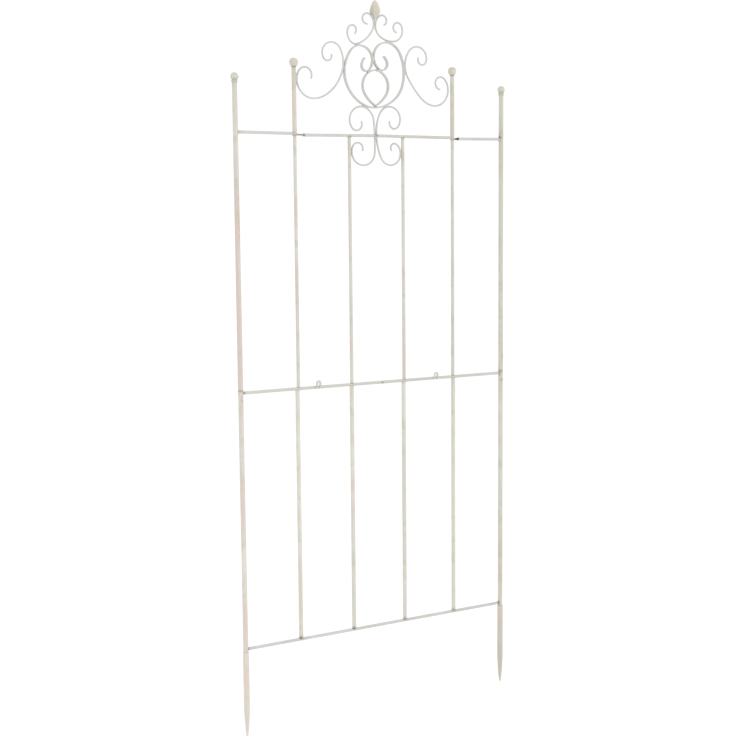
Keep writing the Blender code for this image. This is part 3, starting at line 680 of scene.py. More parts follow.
for side, sign in (("L", -1), ("R", 1)):
    x = sign * POST_X
    piece(f"lower_post_{side}_tube", solid(tube(x, Z_SHOULDER, Z_SEAM, 1 + sign), loop=True), "post_paint",
          "lower_panel", "lower_post_" + side,
          cutters=[drill((x, -0.0095, SCREW_Z), (0, 1, 0), 2.2 * MM, 0.0060)])
    piece(f"upper_post_{side}_tube", solid(tube(x, Z_SEAM + GAP, Z_COLLAR, 5 + sign), loop=True), "post_paint",
          "upper_panel", "upper_post_" + side)

    # Spike: plug, rolled shoulder, shaft, then a forged point with soft facets.
    z0 = Z_SHOULDER - GAP
    profile = [(0.6 * MM, z0 + SPIKE_PLUG), (3.5 * MM, z0 + SPIKE_PLUG), (4.6 * MM, z0 + SPIKE_PLUG - 1.7 * MM),
               (4.65 * MM, z0 + 0.4 * MM), (4.9 * MM, z0), (SPIKE_R - 0.8 * MM, z0),
               (SPIKE_R - 0.25 * MM, z0 - 0.25 * MM), (SPIKE_R, z0 - 0.8 * MM)]
    z_taper = SPIKE_TIP + SPIKE_TAPER
    profile += [(SPIKE_R, z) for z in np.linspace(z0 - 3 * MM, z_taper, 24)]
    for k in range(1, 40):
        t = k / 40
        profile.append((SPIKE_R * (1 - t) ** 0.45, z_taper - SPIKE_TAPER * t))
    profile += [(SPIKE_R * 0.045, SPIKE_TIP + 0.25 * MM), (SPIKE_R * 0.02, SPIKE_TIP)]

    def forged(a, z, z_taper=z_taper, turn=0.5 + 0.35 * sign):
        """Four hammered flats that grow towards the point."""
        t = min(1.0, max(0.0, (z_taper + 0.012 - z) / 0.05))
        t = t * t * (3 - 2 * t)
        q = (a + turn) % (PI / 2) - PI / 4
        flat = 0.80 / np.maximum(np.cos(q), 0.80)
        return 1 - t * (1 - flat) * 0.95 - 0.012 * t * (1 + np.sin(4 * a + z * 900))

    rings = turned_rings(profile, 48, 9 + sign, uneven=0.012, wave=0.06, facet=forged)
    rings[..., 0] += x
    piece(f"ground_spike_{side}_forged", solid(rings), "spike_paint", "lower_panel", "ground_spike_" + side)

# -------------------------------------------------------------------- rails
pin_drills = [drill((x, 0, Z_MID + RAIL_R - PIN_HOLE_DEPTH), (0, 0, 1), PIN_HOLE_R, 0.0105) for x in UPPER_BAR_X]
for name, z, seed, holes in (("bottom_rail", Z_BOTTOM, 11, ()), ("mid_rail", Z_MID, 12, pin_drills)):
    rings = rod_rings(RAIL_R, 32, 0, 0, seed, cope0=at_post(-POST_X, 1, POST_R), cope1=at_post(POST_X, -1, POST_R))
    piece(name + "_bar", solid(level(rings, z)), "rail_paint", "lower_panel", name, cutters=holes)

base_near = {}
for side in "LR":
    points, _ = scroll_path("base_scroll_" + side)
    near = [abs(px) for px, pz in points if abs(pz) < 5.5 * MM and abs(px) < 30 * MM]
    base_near[side] = max(near) + WIRE_R + 2 * GAP

x_l, x_r = UPPER_BAR_X[0], UPPER_BAR_X[3]
socket = [(0.012, 0.6 * MM), (0.012, RAIL_BORE_R), (0.0004, RAIL_BORE_R), (0.0, RAIL_BORE_R + 0.25 * MM),
          (0.0, RAIL_R - 0.35 * MM), (0.12 * MM, RAIL_R - 0.12 * MM)]
rings = rod_rings(RAIL_R, 32, 0, 0, 13, cope0=at_post(-POST_X, 1, POST_R), cope1=at_post(x_l, -1, CREST_POST_R))
piece("top_rail_L_bar", solid(level(rings, Z_TOP)), "rail_paint", "upper_panel", "top_rail_L")
rings = rod_rings(RAIL_R, 32, X_MID_L, -base_near["L"], 14, head=[(X_MID_L + t, r) for t, r in socket])
piece("top_rail_mid_L_bar", solid(sloping(rings, X_MID_L, Z_TOP - SAG_L, -base_near["L"], Z_TOP)),
      "rail_paint", "upper_panel", "top_rail_mid_L")
rings = rod_rings(RAIL_R, 32, base_near["R"], 0, 15, cope1=at_post(x_r, -1, CREST_POST_R))
piece("top_rail_mid_R_bar", solid(level(rings, Z_TOP)), "rail_paint", "upper_panel", "top_rail_mid_R")
rings = rod_rings(RAIL_R, 32, X_OUT_R, 0, 16, head=[(X_OUT_R + t, r) for t, r in socket],
                  cope1=at_post(POST_X, -1, POST_R))
piece("top_rail_R_bar", solid(sloping(rings, X_OUT_R, Z_TOP - SAG_R, POST_X, Z_TOP)),
      "rail_paint", "upper_panel", "top_rail_R")

# --------------------------------------------------------------- upright bars
for i, x in enumerate(LOWER_BAR_X, 1):
    rings = rod_rings(LOWER_BAR_R, 32, 0, 0, 20 + i, cope0=on_rail(Z_BOTTOM, 1), cope1=on_rail(Z_MID, -1))
    piece(f"lower_bar_{i}_rod", solid(upright(rings, x)), "bar_paint", "lower_panel", f"lower_bar_{i}")
for i, x in enumerate(UPPER_BAR_X, 1):
    z0 = Z_MID + RAIL_R + GAP
    foot = [(z0 - PIN_LEN, 0.4 * PIN_R), (z0 - PIN_LEN, PIN_R - 0.4 * MM), (z0 - PIN_LEN + 0.4 * MM, PIN_R),
            (z0 - 0.2 * MM, PIN_R), (z0, PIN_R + 0.2 * MM), (z0, UPPER_BAR_R - 1.2 * MM),
            (z0 + 0.35 * MM, UPPER_BAR_R - 0.5 * MM), (z0 + 1.2 * MM, UPPER_BAR_R)]
    if i in (1, 4):
        rings = rod_rings(UPPER_BAR_R, 32, z0, CREST_POST_FOOT - GAP, 30 + i, head=foot)
    else:
        rail_z = Z_TOP - (SAG_L * (x / X_MID_L) if x < 0 else 0.0)
        rings = rod_rings(UPPER_BAR_R, 32, z0, 0, 30 + i, head=foot, cope1=on_rail(rail_z, -1))
    piece(f"upper_bar_{i}_rod", solid(upright(rings, x)), "bar_paint", "upper_panel", f"upper_bar_{i}")

for side, x in (("L", x_l), ("R", x_r)):
    rings = rod_rings(CREST_POST_R, 40, CREST_POST_FOOT, CREST_POST_TOP, 40 + x)
    piece(f"crest_post_{side}_rod", solid(upright(rings, x)), "post_paint", "upper_panel", "crest_post_" + side)

# -------------------------------------------------------------------- finials
for side, sign in (("L", -1), ("R", 1)):
    z0, ball = Z_COLLAR + GAP, 10.2 * MM
    centre = z0 + 13.7 * MM
    profile = [(0.25 * MM, centre + ball)]
    profile += [(ball * math.sin(math.radians(a)), centre + ball * math.cos(math.radians(a))) for a in range(5, 140, 5)]
    collar = [(6.35, 5.65), (6.3, 5.4), (6.7, 5.2), (7.4, 5.05), (7.9, 4.75), (8.22, 4.25), (8.3, 3.7), (8.1, 3.15),
              (7.72, 2.85), (7.65, 2.65), (7.85, 2.35), (7.9, 1.9), (7.84, 1.1), (7.66, 0.45), (7.3, 0.1), (6.8, 0.0),
              (4.9, 0.0), (4.65, -0.3), (4.65, -13.3), (3.9, -14.0), (0.6, -14.0)]
    profile += [(r * MM, z0 + z * MM) for r, z in collar]
    rings = turned_rings(profile, 48, 50 + sign, uneven=0.016, wave=0.013)
    rings[..., 0] += sign * POST_X
    piece(f"finial_outer_{side}_ball", solid(rings), "finial_paint", "upper_panel", "finial_outer_" + side)

for side, x in (("L", x_l), ("R", x_r)):
    bulb = [(0.2, 22.5), (1.9, 22.4), (3.7, 22.0), (6.9, 20.6), (9.3, 18.2), (10.9, 15.3), (11.5, 12.3), (11.3, 9.8),
            (10.6, 7.2), (9.5, 4.7), (8.2, 2.5), (7.0, 1.0), (6.3, 0.3), (5.8, 0.0)]
    profile = [(r * MM, CREST_POST_TOP + GAP + z * MM) for r, z in through(bulb) + [(0.8, 0.0)]]
    rings = turned_rings(profile, 48, 55 + x, uneven=0.014, wave=0.015)
    rings[..., 0] += x
    piece(f"finial_inner_{side}_bulb", solid(rings), "finial_paint", "upper_panel", "finial_inner_" + side)

bud = [(0.2, 346.5), (1.2, 346.2), (2.4, 345.3), (3.8, 343.9), (5.0, 342.5), (7.1, 339.8), (9.5, 334.9), (11.4, 330.0),
       (12.7, 324.9), (13.5, 322.2), (14.0, 320.0), (14.4, 317.0), (14.0, 314.4), (12.4, 311.2), (9.9, 308.6), (7.0, 306.0),
       (4.6, 303.0), (3.0, 300.0), (2.1, 297.6), (1.6, 296.4), (1.3, 296.0)]
bud = through(bud, 2) + [(0.4, 296.0)]


def petals(a, z):
    """Faint sepal folds over the widest part of the bud."""
    k = math.exp(-((z - 0.316) / 0.013) ** 2)
    return 1 - 0.016 * k * (1 + np.cos(6 * a + 0.8))


rings = turned_rings([(r * MM, z * MM) for r, z in bud], 60, 58, uneven=0.006, wave=0.02, facet=petals)
rings[..., 0] += BUD_X
rings[..., 2] += Z_TOP
piece("bud_finial_turned", solid(rings), "finial_paint", "upper_panel", "bud_finial")

# -------------------------------------------------------------------- scrolls
c, s, _ = circle(20)
WIRE = np.stack([WIRE_R * c, WIRE_R * s], axis=1)


def scroll_wire(name, seed):
    """A bent wire with hammered, slightly rounded ends."""
    points, angles = scroll_path(name)
    run = np.concatenate([[0], np.cumsum(np.hypot(*np.diff(points, axis=0).T))])
    total = run[-1]
    stops = list(np.linspace(1.3 * MM, total - 1.3 * MM, round(total / (1.6 * MM))))
    head = [0.0, 0.08 * MM, 0.35 * MM, 0.75 * MM]
    stops = head + stops + [total - h for h in head[::-1]]
    rings_at, normals, scale = [], [], []
    for t in stops:
        x, z = (np.interp(t, run, points[:, k]) for k in (0, 1))
        angle = np.interp(t, run, angles)
        rings_at.append((x, z))
        normals.append((-math.sin(angle), math.cos(angle)))
        edge = min(t, total - t)
        k = math.sqrt(max(0.0, 1 - (1 - min(1.0, edge / (1.3 * MM))) ** 2)) * 0.55 + 0.45
        k *= 1 - 0.06 * max(0.0, 1 - edge / (9 * MM))
        wave = 1 + 0.018 * (math.sin(t / 0.0131 + seed) + math.sin(t / 0.0053 + 2 * seed)) / 2
        scale.append((k * wave, k * (2 - wave)))
    rings = sweep(rings_at, normals, WIRE, scale)
    rings[..., 1] += 0.25 * MM * np.sin(np.array(stops) / 0.047 + seed)[:, None]
    rings[..., 2] += Z_TOP
    return rings


for k, name in enumerate(("top_scroll_L", "top_scroll_R", "side_scroll_L", "side_scroll_R",
                          "base_scroll_L", "base_scroll_R")):
    piece(name + "_wire", solid(scroll_wire(name, 60 + 2.3 * k)), "scroll_paint", "upper_panel", name, angle=50)


def strap_section(half_u, half_v, r):
    """A flat bar's section with rounded corners, anticlockwise."""
    pts = []
    for cu, cv, start in ((half_u - r, half_v - r, 0), (-(half_u - r), half_v - r, 90),
                          (-(half_u - r), -(half_v - r), 180), (half_u - r, -(half_v - r), 270)):
        for k in range(5):
            a = math.radians(start + 22.5 * k)
            pts.append((cu + r * math.cos(a), cv + r * math.sin(a)))
    out = []
    for p, q in zip(pts, pts[1:] + pts[:1]):
        out.append(p)
        if math.dist(p, q) > 2.2 * MM:
            n = math.ceil(math.dist(p, q) / (1.6 * MM))
            out += [(p[0] + (q[0] - p[0]) * j / n, p[1] + (q[1] - p[1]) * j / n) for j in range(1, n)]
    return np.array(out)


STRAP = strap_section(STRAP_T / 2, STRAP_D / 2, 0.9 * MM)
for k, name in enumerate(("lyre_scroll_L", "lyre_scroll_R")):
    points, angles = scroll_path(name)
    run = np.concatenate([[0], np.cumsum(np.hypot(*np.diff(points, axis=0).T))])
    total = run[-1]
    stops = [0.0, 0.12 * MM, 0.5 * MM] + list(np.linspace(1.2 * MM, total - 1.2 * MM, round(total / (1.8 * MM))))
    stops += [total - 0.5 * MM, total - 0.12 * MM, total]
    at, normals, scale = [], [], []
    for t in stops:
        x, z = (np.interp(t, run, points[:, j]) for j in (0, 1))
        angle = np.interp(t, run, angles)
        at.append((x, z))
        normals.append((-math.sin(angle), math.cos(angle)))
        edge = min(t, total - t)
        k2 = 1 - 0.16 * max(0.0, 1 - edge / (0.5 * MM)) ** 2
        wave = 0.010 * (math.sin(t / 0.0121 + k) + math.sin(t / 0.0061 + 3 * k))
        scale.append((k2 * (1 + wave), 1 - 0.35 * (1 - k2) - 0.006 - 0.5 * abs(wave)))
    rings = sweep(at, normals, STRAP, scale)
    rings[..., 2] += Z_TOP
    piece(name + "_strap", solid(rings), "scroll_paint", "upper_panel", name)

# The ring: its two sides meet in a mitred point at the bottom.
points, angles = arc_path(*RING_START, RING_ARCS, 10.0, step=1.5)
angles[-1] = PI
half = [((x * MM, z * MM), (-math.sin(a), math.cos(a))) for (x, z), a in zip(points, angles)]
slope = 1 / math.cos(math.radians(RING_START[2]))
half[0] = ((0.0, RING_START[1] * MM), (0.0, slope))
half[-1] = ((0.0, half[-1][0][1]), (0.0, -1.0))
full = half + [((-x, z), (-nx, nz)) for (x, z), (nx, nz) in half[-2:0:-1]]
rings = sweep([p for p, _ in full], [n for _, n in full], STRAP)
rings[..., 2] += Z_TOP
piece("teardrop_ring_strap", solid(rings, loop=True), "scroll_paint", "upper_panel", "teardrop_ring")

# --------------------------------------------------- eyelets, screws and nuts
def plate(section_at, sides=64):
    """A closed band round a hole; section_at(angle) gives (rho, t) pairs."""
    rings = []
    for k in range(sides):
        a = 2 * PI * k / sides
        rings.append([(rho * math.cos(a), t, rho * math.sin(a)) for rho, t in section_at(a)])
    return np.array(rings)


EYELET_Y = -(RAIL_R + GAP + EYELET_T / 2)
loop_r = EYELET_R - EYELET_W / 2
LOOP = strap_section(EYELET_W / 2, EYELET_T / 2, 0.8 * MM)
for side, x in zip("LR", EYELET_X):
    rise = EYELET_BEND_Z[side] - EYELET_FOOT_Z
    leg = [0.0, 0.1 * MM, 0.35 * MM] + list(np.linspace(0.9 * MM, rise, 12))
    at = [(loop_r, EYELET_FOOT_Z + t) for t in leg]
    normals = [(1.0, 0.0)] * len(at)
    for k in range(1, 24):
        a = PI * k / 24
        at.append((loop_r * math.cos(a), EYELET_BEND_Z[side] + loop_r * math.sin(a)))
        normals.append((math.cos(a), math.sin(a)))
    at += [(-loop_r, EYELET_FOOT_Z + t) for t in leg[::-1]]
    normals += [(-1.0, 0.0)] * len(leg)
    ends = {0: 0.80, 1: 0.90, 2: 0.97}
    scale = []
    for k in range(len(at)):
        small = ends.get(min(k, len(at) - 1 - k), 1.0)
        wave = 0.012 * math.sin(k * 0.9 + 30 * x)
        scale.append((small * (1 + wave), small * (0.99 - abs(wave))))
    rings = sweep(at, normals, LOOP, scale)
    rings[..., 0] = np.clip(rings[..., 0], -EYELET_R, EYELET_R) + x
    rings[..., 1] += EYELET_Y
    rings[..., 2] = Z_MID + np.minimum(rings[..., 2], EYELET_BEND_Z[side] + EYELET_R)
    piece(f"wall_eyelet_{side}_loop", solid(rings), "scroll_paint", "lower_panel", "wall_eyelet_" + side, angle=45)

for side, sign in (("L", -1), ("R", 1)):
    seat = POST_R + GAP
    profile = [(0.2 * MM, seat + 2.4 * MM), (1.0 * MM, seat + 2.34 * MM), (1.9 * MM, seat + 2.15 * MM), (2.6 * MM, seat + 1.8 * MM),
               (3.1 * MM, seat + 1.35 * MM), (3.4 * MM, seat + 0.85 * MM), (3.5 * MM, seat + 0.45 * MM), (3.42 * MM, seat + 0.1 * MM),
               (3.25 * MM, seat), (1.75 * MM, seat), (1.75 * MM, 5.5 * MM), (1.45 * MM, 5.2 * MM), (0.3 * MM, 5.2 * MM)]
    rings = turned_rings(profile, 40, 70 + sign)
    rings = np.stack([sign * POST_X + rings[..., 0], -rings[..., 2], SCREW_Z + rings[..., 1]], axis=-1)
    slots = []
    for turn in (0.35 * sign, 0.35 * sign + PI / 2):
        ca, sa = math.cos(turn), math.sin(turn)
        box = []
        for y in (-(seat + 3.0 * MM), -(seat + 1.15 * MM)):
            w, l = (0.42 * MM, 2.1 * MM) if y < -(seat + 2 * MM) else (0.30 * MM, 1.4 * MM)
            box.append([(sign * POST_X + p * ca - q * sa, y, SCREW_Z + p * sa + q * ca)
                        for p, q in ((-l, -w), (l, -w), (l, w), (-l, w))])
        slots.append(solid(box))
    piece(f"coupling_screw_{side}_pan", solid(rings), "post_paint", "lower_panel", "coupling_screw_" + side,
          angle=30, grime_and_shade=0.2, cutters=slots)

    top, low = Z_SEAM + SPIGOT_UP, Z_SEAM - SPIGOT_DOWN
    tail = [(top - 1.0 * MM, SPIGOT_R), (top - 0.3 * MM, SPIGOT_R - 0.25 * MM), (top, SPIGOT_R - 0.8 * MM), (top, 1.5 * MM)]
    head = [(low, 1.5 * MM), (low, SPIGOT_R - 1.4 * MM), (low + 0.4 * MM, SPIGOT_R - 1.1 * MM), (low + 2.5 * MM, SPIGOT_R)]
    rings = rod_rings(SPIGOT_R, 36, low, top, 75 + sign, head=head, tail=tail, uneven=0.004)
    piece(f"coupling_spigot_{side}_rod", solid(upright(rings, sign * POST_X)), "dark_steel", "upper_panel",
          "coupling_spigot_" + side)

THREAD = 0.8 * MM
for side, x_post, x_rail, drop in (("L", x_l, X_MID_L, SAG_L), ("R", x_r, X_OUT_R, SAG_R)):
    start = Vector((x_post + CREST_POST_R + 0.6 * MM, 0, Z_TOP - STUD_DROP[side]))
    way = Vector((x_rail, 0, Z_TOP - drop)) - start
    way.normalize()
    length = (x_rail - start.x) / way.x + STUD_IN
    c, s, a = circle(28)
    rows = []
    for t in np.arange(0.0, length + 1e-9, 0.1 * MM):
        edge = min(t, length - t)
        fade = min(1.0, edge / (0.8 * MM))
        saw = np.abs(((a / (2 * PI) - t / THREAD) % 1.0) * 2 - 1)
        r = STUD_R - 0.26 * MM * (1 - saw) - 0.3 * MM * (1 - fade)
        rows.append(np.stack([t + 0 * c, r * c, r * s], axis=1))
    piece(f"rail_stud_{side}_thread", solid(along(np.array(rows), start, way)), "dark_steel", "upper_panel",
          "rail_stud_" + side, angle=30, grime_and_shade=0.5)

    seat_t = (x_rail - start.x) / way.x - 1.2 * MM

    def hexagon(a, half_t=NUT_T / 2):
        q = (a + PI / 6) % (PI / 3) - PI / 6
        flat = (NUT_AF / 2) / math.cos(q)
        rows = []
        for t, cap_r in ((half_t, 3.54), (half_t - 0.10 * MM, 3.75), (half_t - 0.32 * MM, 4.09), (half_t - 0.50 * MM, 4.33),
                         (0.0, 4.33), (-half_t + 0.50 * MM, 4.33), (-half_t + 0.32 * MM, 4.09), (-half_t + 0.10 * MM, 3.75),
                         (-half_t, 3.54)):
            rows.append((min(flat - 0.04 * MM, cap_r * MM), t))
        bore = STUD_R + GAP * 0.5
        rows += [(bore + 0.4 * MM, -half_t), (bore, -half_t + 0.35 * MM), (bore, half_t - 0.35 * MM), (bore + 0.4 * MM, half_t)]
        return rows

    rings = plate(hexagon, 72)
    rings = np.stack([rings[..., 1], rings[..., 0], rings[..., 2]], axis=-1)
    middle = start + way * (seat_t - NUT_T / 2)
    piece(f"rail_nut_{side}_hex", solid(along(rings, middle, way), loop=True), "dark_steel", "upper_panel",
          "rail_nut_" + side, angle=28, grime_and_shade=0.5)

# ---------------------------------------------------------------------- welds
ANGLES = np.linspace(0, 2 * PI, 60, endpoint=False)


def bar_on_rail(x, rail_z, sign, bar_r, rail_r):
    """Closed path round the end of a bar that stands (+1) or hangs (-1) on a rail."""
    r = bar_r + 0.15 * MM
    dx, dy = r * np.cos(ANGLES), r * np.sin(ANGLES)
    lift = np.sqrt(np.maximum((rail_r + 0.25 * MM) ** 2 - dy ** 2, 0.0))
    lift = np.maximum(lift, SADDLE_Z + 0.2 * MM)
    lift = (lift + np.roll(lift, 1) + np.roll(lift, -1)) / 3
    return np.stack([x + dx, dy * 0.94, rail_z + sign * (lift + 0.25 * MM)], axis=1)


def rail_on_post(x, sign, rail_z, post_r, rail_r):
    """Closed path round the end of a rail that meets a post at x."""
    r = rail_r + 0.20 * MM
    dz, dy = r * np.cos(ANGLES), r * np.sin(ANGLES)
    out = np.sqrt(np.maximum(post_r ** 2 - dy ** 2, 0.0)) + 0.15 * MM
    return np.stack([x + sign * out, dy, rail_z + dz], axis=1)


def weld(name, slot, body, *parts, grime_and_shade=0.32):
    shape = Shape()
    for rings, loop in parts:
        shape.loft(rings, loop=loop)
    return piece("weld_" + name, shape, slot, body, angle=75, grime_and_shade=grime_and_shade)


seed = 100.0
for i, x in enumerate(LOWER_BAR_X, 1):
    for end, z, sign in (("foot", Z_BOTTOM, 1), ("head", Z_MID, -1)):
        seed += 1.7
        path = bar_on_rail(x, z, sign, LOWER_BAR_R, RAIL_R)
        weld(f"lower_bar_{i}_{end}", "bar_paint", "lower_panel", (bead_rings(path, 0.95 * MM, seed, True), True),
             grime_and_shade=0.32 if end == "foot" else 0.05)
for i in (2, 3):
    seed += 1.7
    x = UPPER_BAR_X[i - 1]
    rail_z = Z_TOP - (SAG_L * (x / X_MID_L) if x < 0 else 0.0)
    path = bar_on_rail(x, rail_z, -1, UPPER_BAR_R, RAIL_R)
    weld(f"upper_bar_{i}_head", "bar_paint", "upper_panel", (bead_rings(path, 0.95 * MM, seed, True), True))
for name, x, sign, z, post_r, body in (
        ("bottom_rail_L", -POST_X, 1, Z_BOTTOM, POST_R, "lower_panel"),
        ("bottom_rail_R", POST_X, -1, Z_BOTTOM, POST_R, "lower_panel"),
        ("mid_rail_L", -POST_X, 1, Z_MID, POST_R, "lower_panel"),
        ("mid_rail_R", POST_X, -1, Z_MID, POST_R, "lower_panel"),
        ("top_rail_L_post", -POST_X, 1, Z_TOP, POST_R, "upper_panel"),
        ("top_rail_R_post", POST_X, -1, Z_TOP, POST_R, "upper_panel"),
        ("top_rail_L_crest", x_l, -1, Z_TOP, CREST_POST_R, "upper_panel"),
        ("top_rail_mid_R_crest", x_r, -1, Z_TOP, CREST_POST_R, "upper_panel")):
    seed += 1.7
    path = rail_on_post(x, sign, z, post_r, RAIL_R)
    weld(name, "rail_paint", body, (bead_rings(path, 0.95 * MM, seed, True), True))
for side, x in (("L", x_l), ("R", x_r)):
    seed += 1.7
    r = UPPER_BAR_R + 0.35 * MM
    path = np.stack([x + r * np.cos(ANGLES), r * np.sin(ANGLES), 0 * ANGLES + CREST_POST_FOOT - 0.35 * MM], axis=1)
    weld(f"crest_post_{side}_foot", "post_paint", "upper_panel", (bead_rings(path, 0.85 * MM, seed, True), True))
    path = rail_on_post(x, 1, Z_TOP - STUD_DROP[side], CREST_POST_R, STUD_R - 0.1 * MM)
    weld(f"rail_stud_{side}", "post_paint", "upper_panel", (bead_rings(path, 0.75 * MM, seed + 1, True), True), grime_and_shade=0.6)
for side, x in zip("LR", EYELET_X):
    parts = []
    for sign in (-1, 1):
        seed += 1.7
        dx, dz = (EYELET_W / 2 + 0.05 * MM) * np.cos(ANGLES), 2.7 * MM * np.sin(ANGLES)
        path = np.stack([x + sign * loop_r + dx, -np.sqrt(RAIL_R ** 2 - dz ** 2) - 0.25 * MM, Z_MID + 0.1 * MM + dz], axis=1)
        parts.append((bead_rings(path, 0.7 * MM, seed, True), True))
    weld(f"wall_eyelet_{side}", "rail_paint", "lower_panel", *parts, grime_and_shade=0.1)


def heading_near(name, x, z):
    """Heading of a scroll where it passes nearest to a crest point (mm)."""
    points, angles = scroll_path(name)
    k = np.argmin(np.hypot(points[:, 0] - x * MM, points[:, 1] - z * MM))
    return angles[k]


def crest_blob(name, on, x, z, a, b, c, faces=(-1, 1), y=1.5, grime_and_shade=0.32):
    """Drops of weld before and behind a place where two scrolls touch."""
    global seed
    heading = heading_near(on, x, z)
    parts = []
    for face in faces:
        seed += 1.3
        centre = (x * MM, face * y * MM, Z_TOP + z * MM)
        parts.append((blob_rings(centre, heading, a * MM, b * MM, c * MM, seed), False))
    weld(name, "scroll_paint", "upper_panel", *parts, grime_and_shade=grime_and_shade)


crest_blob("top_L_lyre_L", "top_scroll_L", -53.2, 230.4, 6.0, 1.9, 2.0)
crest_blob("top_R_lyre_R", "top_scroll_R", 40.4, 242.5, 8.0, 1.9, 2.0)
crest_blob("lyre_curls", "lyre_scroll_L", -6.6, 197.1, 5.0, 1.5, 2.2, y=3.2, grime_and_shade=0.12)
crest_blob("ring_top_L", "lyre_scroll_L", -19.8, 164.7, 4.0, 1.4, 2.2, y=3.4, grime_and_shade=0.10)
crest_blob("ring_top_R", "lyre_scroll_R", 12.8, 168.0, 4.0, 1.4, 2.2, y=3.4, grime_and_shade=0.10)
crest_blob("side_L_lyre_L", "side_scroll_L", -93.3, 171.7, 6.0, 1.9, 2.2, grime_and_shade=0.18)
crest_blob("side_R_lyre_R", "side_scroll_R", 88.7, 177.7, 6.0, 1.9, 2.2, grime_and_shade=0.18)
crest_blob("side_L_post", "side_scroll_L", -230.2, 135.5, 15.0, 1.9, 2.0, y=1.5, grime_and_shade=0.0)
crest_blob("base_L_lyre", "base_scroll_L", -30.8, 74.1, 4.5, 1.8, 2.0, grime_and_shade=0.18)
crest_blob("base_R_lyre", "base_scroll_R", 29.7, 76.2, 4.5, 1.8, 2.0, grime_and_shade=0.18)
crest_blob("lyre_ends", "lyre_scroll_L", 0.0, 73.2, 5.0, 2.2, 2.6, y=2.8)
crest_blob("base_L_bar", "base_scroll_L", -73.6, -42.5, 8.0, 1.6, 1.6, y=1.8, grime_and_shade=0.15)
crest_blob("base_R_bar", "base_scroll_R", 76.1, -44.8, 8.0, 1.6, 1.6, y=1.8, grime_and_shade=0.15)

# The joint of the two top stems: weld fills the cleft up to the bud.
table = [(270.0, 0.6, 0.5), (271.0, 1.5, 1.2), (273.0, 1.75, 1.7), (276.0, 1.5, 1.9), (280.0, 1.35, 2.0), (284.0, 1.35, 2.1),
         (288.0, 1.5, 2.2), (291.0, 2.0, 2.3), (294.0, 2.9, 2.5), (297.0, 4.0, 2.7), (300.0, 5.0, 2.8), (302.0, 5.3, 2.6),
         (303.5, 4.8, 2.0), (304.2, 3.4, 1.2)]
table = np.array(table)
c, s_, a = circle(28)
rings = []
for z in np.unique(np.concatenate([np.linspace(270.0, 304.2, 60), table[:, 0]])):
    w, d = (np.interp(z, table[:, 0], table[:, k]) for k in (1, 2))
    lump = 1 + 0.07 * np.sin(3 * a + z / 1.9) + 0.05 * np.sin(2 * a - z / 1.1) + 0.05 * math.sin(z / 0.9)
    rings.append(np.stack([(0.6 + w * lump * c) * MM, d * lump * s_ * MM, 0 * a + Z_TOP + z * MM], axis=1))
weld("top_stems", "finial_paint", "upper_panel", (np.array(rings), False), grime_and_shade=0.12)

# Where the base stems cross between the ends of the top rail.
parts = []
for face in (-1, 1):
    for x, a, b in ((-base_near["L"], 3.2, 2.0), (base_near["R"], 3.2, 2.0)):
        seed += 1.3
        parts.append((blob_rings((x, face * 1.6 * MM, Z_TOP + 0.2 * MM), PI / 2, a * MM, b * MM, 2.3 * MM, seed), False))
    seed += 1.3
    parts.append((blob_rings((0.5 * MM, face * 1.5 * MM, Z_TOP + 4 * MM), PI / 2, 6.0 * MM, 1.7 * MM, 1.7 * MM, seed), False))
weld("base_stems", "scroll_paint", "upper_panel", *parts, grime_and_shade=0.45)

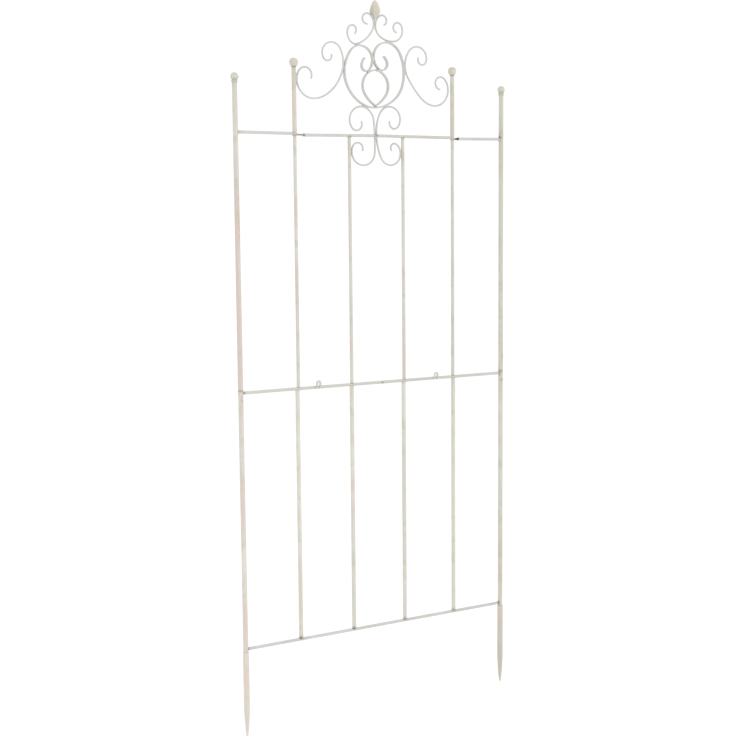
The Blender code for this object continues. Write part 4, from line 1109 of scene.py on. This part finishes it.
# ------------------------------------------------------ floor, light, camera
mesh = bpy.data.meshes.new("floor")
mesh.from_pydata([(-9, -9, -0.2006), (9, -9, -0.2006), (9, 9, -0.2006), (-9, 9, -0.2006)], [], [(0, 1, 2, 3)])
floor = bpy.data.objects.new("floor", mesh)
SCENE.collection.objects.link(floor)
g = Graph("floor_white")
g.set(g.shader.inputs["Base Color"], g.mix(g.noise(g.place, 3.0), (0.965, 0.965, 0.965, 1.0), (0.98, 0.98, 0.98, 1.0)))
g.shader.inputs["Roughness"].default_value = 0.9
g.shader.inputs["Specular IOR Level"].default_value = 0.1
mesh.materials.append(g.mat)

world = bpy.data.worlds.new("studio")
SCENE.world = world
world.use_nodes = True
world.node_tree.nodes["Background"].inputs["Color"].default_value = (1.0, 1.0, 1.0, 1.0)
world.node_tree.nodes["Background"].inputs["Strength"].default_value = 1.05


def softbox(name, place, aim, size, watts, colour=(1.0, 1.0, 1.0)):
    data = bpy.data.lights.new(name, "AREA")
    data.shape = "RECTANGLE"
    data.size, data.size_y = size
    data.energy = watts
    data.color = colour
    light = bpy.data.objects.new(name, data)
    light.location = place
    light.rotation_euler = (Vector(aim) - Vector(place)).to_track_quat("-Z", "Y").to_euler()
    SCENE.collection.objects.link(light)


softbox("key", (2.2, -3.4, 2.9), (0, 0, 0.9), (2.4, 2.8), 22)
softbox("rim", (3.0, 2.2, 2.4), (0, 0, 0.9), (1.8, 2.4), 5)

yaw, pitch, roll = (math.radians(v) for v in (29.6826, 6.3778, -0.5295))
ahead0 = Vector((math.sin(yaw), math.cos(yaw), 0.0))
ahead = ahead0 * math.cos(pitch) - Vector((0, 0, math.sin(pitch)))
right = Vector((math.cos(yaw), -math.sin(yaw), 0.0))
up = ahead0 * math.sin(pitch) + Vector((0, 0, math.cos(pitch)))
right, up = right * math.cos(roll) + up * math.sin(roll), -right * math.sin(roll) + up * math.cos(roll)
camera_data = bpy.data.cameras.new("camera")
camera_data.sensor_fit = "HORIZONTAL"
camera_data.sensor_width = 36.0
camera_data.lens = 1310.7343 / 736 * 36.0
camera_data.clip_start, camera_data.clip_end = 0.05, 60.0
camera = bpy.data.objects.new("camera", camera_data)
SCENE.collection.objects.link(camera)
turn = Matrix((right, up, -ahead)).transposed().to_4x4()
camera.matrix_world = Matrix.Translation((-1.7431, -3.0055, 1.1273)) @ turn
SCENE.camera = camera
SCENE.view_settings.view_transform = "Standard"
SCENE.view_settings.look = "None"
